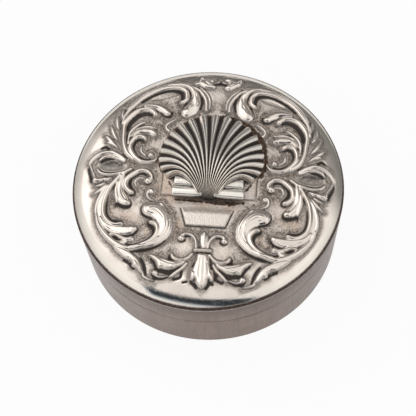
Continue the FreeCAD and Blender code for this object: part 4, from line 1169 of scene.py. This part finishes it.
# %% Shell from the rule, as a plain mesh
carrier = add_object("fan_carrier", bpy.data.meshes.new("fan_carrier"))
rule = carrier.modifiers.new("Scallop fan", "NODES")
rule.node_group = fan_tree
sockets = {item.name: item.identifier for item in fan_tree.interface.items_tree
           if item.in_out == "INPUT"}
rule[sockets["Material"]] = cast_silver
rule[sockets["Rib height"]] = RIB_HEIGHT
carrier.update_tag()
bpy.context.view_layer.update()
graph = bpy.context.evaluated_depsgraph_get()
fan_mesh = bpy.data.meshes.new_from_object(carrier.evaluated_get(graph))
fan_mesh.name = "shell_fan"
fan_mesh.materials.clear()
fan_mesh.materials.append(cast_silver)
shell_fan = add_object("shell_fan", fan_mesh)
bpy.data.objects.remove(carrier)
up = sum(1 for face in fan_mesh.polygons if face.normal.z > 0)
print("shell_fan", len(fan_mesh.polygons), "faces,", up, "look up")

# %% [markdown]
# Two rolls side by side form the ears at the hinge edge. Each roll is a bar with a rounded back,
# its ends drawn in, and it runs under the fan.

# %% Ears of the shell
# Each roll: middle y, half depth, first x, last x, painted shade
EAR_ROLLS = [(-5.4, 1.4, 1.5, 8.95, 0.1), (-2.6, 1.4, 1.9, 8.7, 0.3)]
EAR_LOW = GROUND + 0.95
EAR_RISE = 1.85
EAR_STEPS = 30
EAR_SIDES = 28
END_ROUND = 0.35
ear_points = []
ear_faces = []
ear_shade = []
ear_quads = ring_faces(EAR_STEPS + 1, EAR_SIDES)
for mid_y, half_depth, start_x, last_x, roll_shade in EAR_ROLLS:
    for hand in (-1, 1):
        first = len(ear_points)
        for step in range(EAR_STEPS + 1):
            x = start_x + (last_x - start_x) * (1 - (1 - step / EAR_STEPS) ** 2)
            to_end = min((last_x - x) / END_ROUND, 1.0)
            draw_in = 0.9 + 0.1 * math.sqrt(max(1 - (1 - to_end) ** 2, 0.0))
            half_y = half_depth * draw_in * (1.0 + 0.06 * (x / last_x) ** 2)
            near_fan = max(1 - (x - start_x) / 2.5, 0) * 0.4
            for turn in range(EAR_SIDES):
                angle = 2 * math.pi * turn / EAR_SIDES
                cos_a, sin_a = math.cos(angle), math.sin(angle)
                y = mid_y + half_y * math.copysign(abs(cos_a) ** 0.9, cos_a)
                z = EAR_LOW + EAR_RISE * (0.5 + 0.5 * sin_a) * draw_in
                ear_points.append((ORNAMENT_X + hand * x, y, z))
                # Painted shade on each roll: darker on its upright front and back, on its back half,
                # near the fan, and on the rear roll
                crease = max(abs(cos_a) - 0.8, 0) * 3.5
                dirt_and_shade = 0.75 * crease + near_fan + (roll_shade + 0.3 * max(cos_a, 0))
                ear_shade.append(min(dirt_and_shade, 1.0))
        faces = [tuple(first + k for k in quad) for quad in ear_quads]
        faces.append(tuple(range(len(ear_points) - EAR_SIDES, len(ear_points))))
        faces.append(tuple(range(first, first + EAR_SIDES))[::-1])
        ear_faces += faces if hand > 0 else [face[::-1] for face in faces]
shell_ears = mesh_piece("shell_ears", ear_points, ear_faces, cast_silver)
write_attribute(shell_ears, "cavity", ear_shade)
print("shell_ears", len(ear_faces), "faces")

# %% [markdown]
# Each piece now rides on its CAD body, and the CAD node it stands for is hidden.
# The plain turned pieces stay as the CAD made them and take a material.

# %% Put the pieces on their bodies
MADE = [(band, "stamped_silver", "lid_top") for band in lid_bands]
MADE += [(lid_border, "stamped_silver", "lid_top"), (shell_fan, "cast_silver", "shell"),
         (shell_ears, "cast_silver", "shell")]
for piece, slot_name, stands_for in MADE:
    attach(piece, "lid")
    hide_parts(stands_for)
CARRIED = {
    "base_floor": (wall_silver, "plain_silver"), "base_wall": (wall_silver, "plain_silver"),
    "lid_skirt": (wall_silver, "plain_silver"), "collar": (inner_silver, "collar_silver"),
    "floor_solder": (solder, "solder"), "collar_solder": (solder, "solder"),
    "lid_solder": (solder, "solder"), "shell_bed": (cement, "cement")}
for name, (material, slot_name) in CARRIED.items():
    cad_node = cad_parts[name]
    cad_node.data.materials.clear()
    cad_node.data.materials.append(material)
print("carried over:", sorted(CARRIED))

# %% [markdown]
# The box stands on a pale floor under a soft studio. Polished silver shows what is around it, so
# the world is a soft grey room with a bright ceiling, and a dark shape where the photographer
# stands. The camera itself sees a white background.

# %% World
CAMERA_AT = Vector((15.82, -104.70, 212.98)) * MM
CAMERA_RIGHT = (0.98823, 0.15299, 0.0)
CAMERA_FRONT = (0.15299, -0.98823, 0.0)
UP = (0.0, 0.0, 1.0)
WALL_LIGHT = 0.34
CEILING_LIGHT = 0.9
ROOM_TINT = (1.0, 0.99, 0.97, 1)
FIGURE_TINT = (0.72, 0.88, 1.1, 1)
world = bpy.data.worlds.new("studio")
bpy.context.scene.world = world
world.use_nodes = True
tree = world.node_tree
look = node(tree, "ShaderNodeTexCoord").outputs["Generated"]


def along_direction(direction):
    """How far the view direction points along another one."""
    made = node(tree, "ShaderNodeVectorMath", {0: look, 1: direction}, operation="DOT_PRODUCT")
    return Term(tree, made.outputs["Value"])


front_way = along_direction(CAMERA_FRONT)
side_way = along_direction(CAMERA_RIGHT)
back_way = side_way * 0.42 - front_way * 0.91
room = blend(along_direction(UP).ramp(0.0, 0.8), WALL_LIGHT, CEILING_LIGHT)
room = room + side_way.size().ramp(0.3, 0.7) * 0.2
room = room * (1.0 - back_way.ramp(0.42, 0.68) * 0.62)
tilted = front_way - side_way * 0.44
figure = side_way.ramp(-0.58, -0.52) * (1.0 - side_way.ramp(0.3, 0.4))
figure = figure * tilted.ramp(0.53, 0.56) * (1.0 - tilted.ramp(0.74, 0.86))
room = room * (1.0 - figure * 0.95)
seen = node(tree, "ShaderNodeLightPath")
feed(tree, tree.nodes["Background"], {
    "Strength": blend(Term(tree, seen.outputs["Is Camera Ray"]), room, 1.0),
    "Color": colour_mix(tree, figure, ROOM_TINT, FIGURE_TINT)})
print("world in", len(tree.nodes), "nodes")

# %% [markdown]
# The floor is white paper. For the camera it mostly glows, so that it meets the white background
# without an edge and keeps only a faint shadow. One large soft lamp hangs at the back left.

# %% Floor and lamp
FLOOR_SIZE = 6.0
PAPER = (0.96, 0.96, 0.96, 1)
GLOW_SHARE = 0.93
MIRRORED_GLOW = 0.35
LAMP_AT = Vector((-0.32, 0.22, 0.5))
LAMP_AIM = Vector((0, 0, 0.02))
bpy.ops.mesh.primitive_plane_add(size=FLOOR_SIZE, location=(0, 0, 0))
floor = bpy.context.object
floor.name = "floor"
floor_paint = bpy.data.materials.new("pale_floor")
floor_paint.use_nodes = True
tree = floor_paint.node_tree
tree.nodes.remove(tree.nodes["Principled BSDF"])
paper = node(tree, "ShaderNodeBsdfDiffuse", {"Color": PAPER})
glow = node(tree, "ShaderNodeEmission", {"Color": (1, 1, 1, 1), "Strength": 1.0})
seen = node(tree, "ShaderNodeLightPath")
direct = Term(tree, seen.outputs["Is Camera Ray"])
direct = direct.most(Term(tree, seen.outputs["Is Glossy Ray"]) * MIRRORED_GLOW)
direct = direct.most(Term(tree, seen.outputs["Is Transmission Ray"]))
both = node(tree, "ShaderNodeMixShader",
            {0: direct * GLOW_SHARE, 1: paper.outputs[0], 2: glow.outputs[0]})
feed(tree, tree.nodes["Material Output"], {"Surface": both.outputs[0]})
floor.data.materials.append(floor_paint)

lamp_data = bpy.data.lights.new("softbox", "AREA")
lamp_data.shape = "DISK"
lamp_data.size = 0.6
lamp_data.energy = 0.45
lamp = add_object("softbox", lamp_data)
lamp.location = LAMP_AT
lamp.rotation_euler = (LAMP_AIM - LAMP_AT).to_track_quat("-Z", "Y").to_euler()
print("floor and lamp ready")

# %% [markdown]
# The camera looks down at about sixty degrees from above the front, a little to the right, with a
# slight roll. Its place was worked out from the outline of the drum and the lid.

# %% Camera
BOX_MIDDLE = Vector((0, 0, 0.011))
VIEW_WAY = Vector((-0.07036, 0.45449, -0.8880)).normalized()
ROLL = math.radians(-4.31)
level_right = Vector(CAMERA_RIGHT).normalized()
level_up = level_right.cross(VIEW_WAY).normalized()
axis_x = level_right * math.cos(ROLL) + level_up * math.sin(ROLL)
axis_y = level_up * math.cos(ROLL) - level_right * math.sin(ROLL)
camera_data = bpy.data.cameras.new("camera")
camera_data.sensor_width = 36.0
camera_data.lens = 73.125
camera_data.clip_start = 0.01
camera_data.shift_y = -0.0024
camera = add_object("camera", camera_data)
turn = Matrix((axis_x, axis_y, -VIEW_WAY)).transposed().to_4x4()
camera.matrix_world = Matrix.Translation(CAMERA_AT) @ turn
bpy.context.scene.camera = camera
bpy.context.scene.view_settings.view_transform = "Standard"
print("camera", round((CAMERA_AT - BOX_MIDDLE).length / MM, 1), "mm from the box")
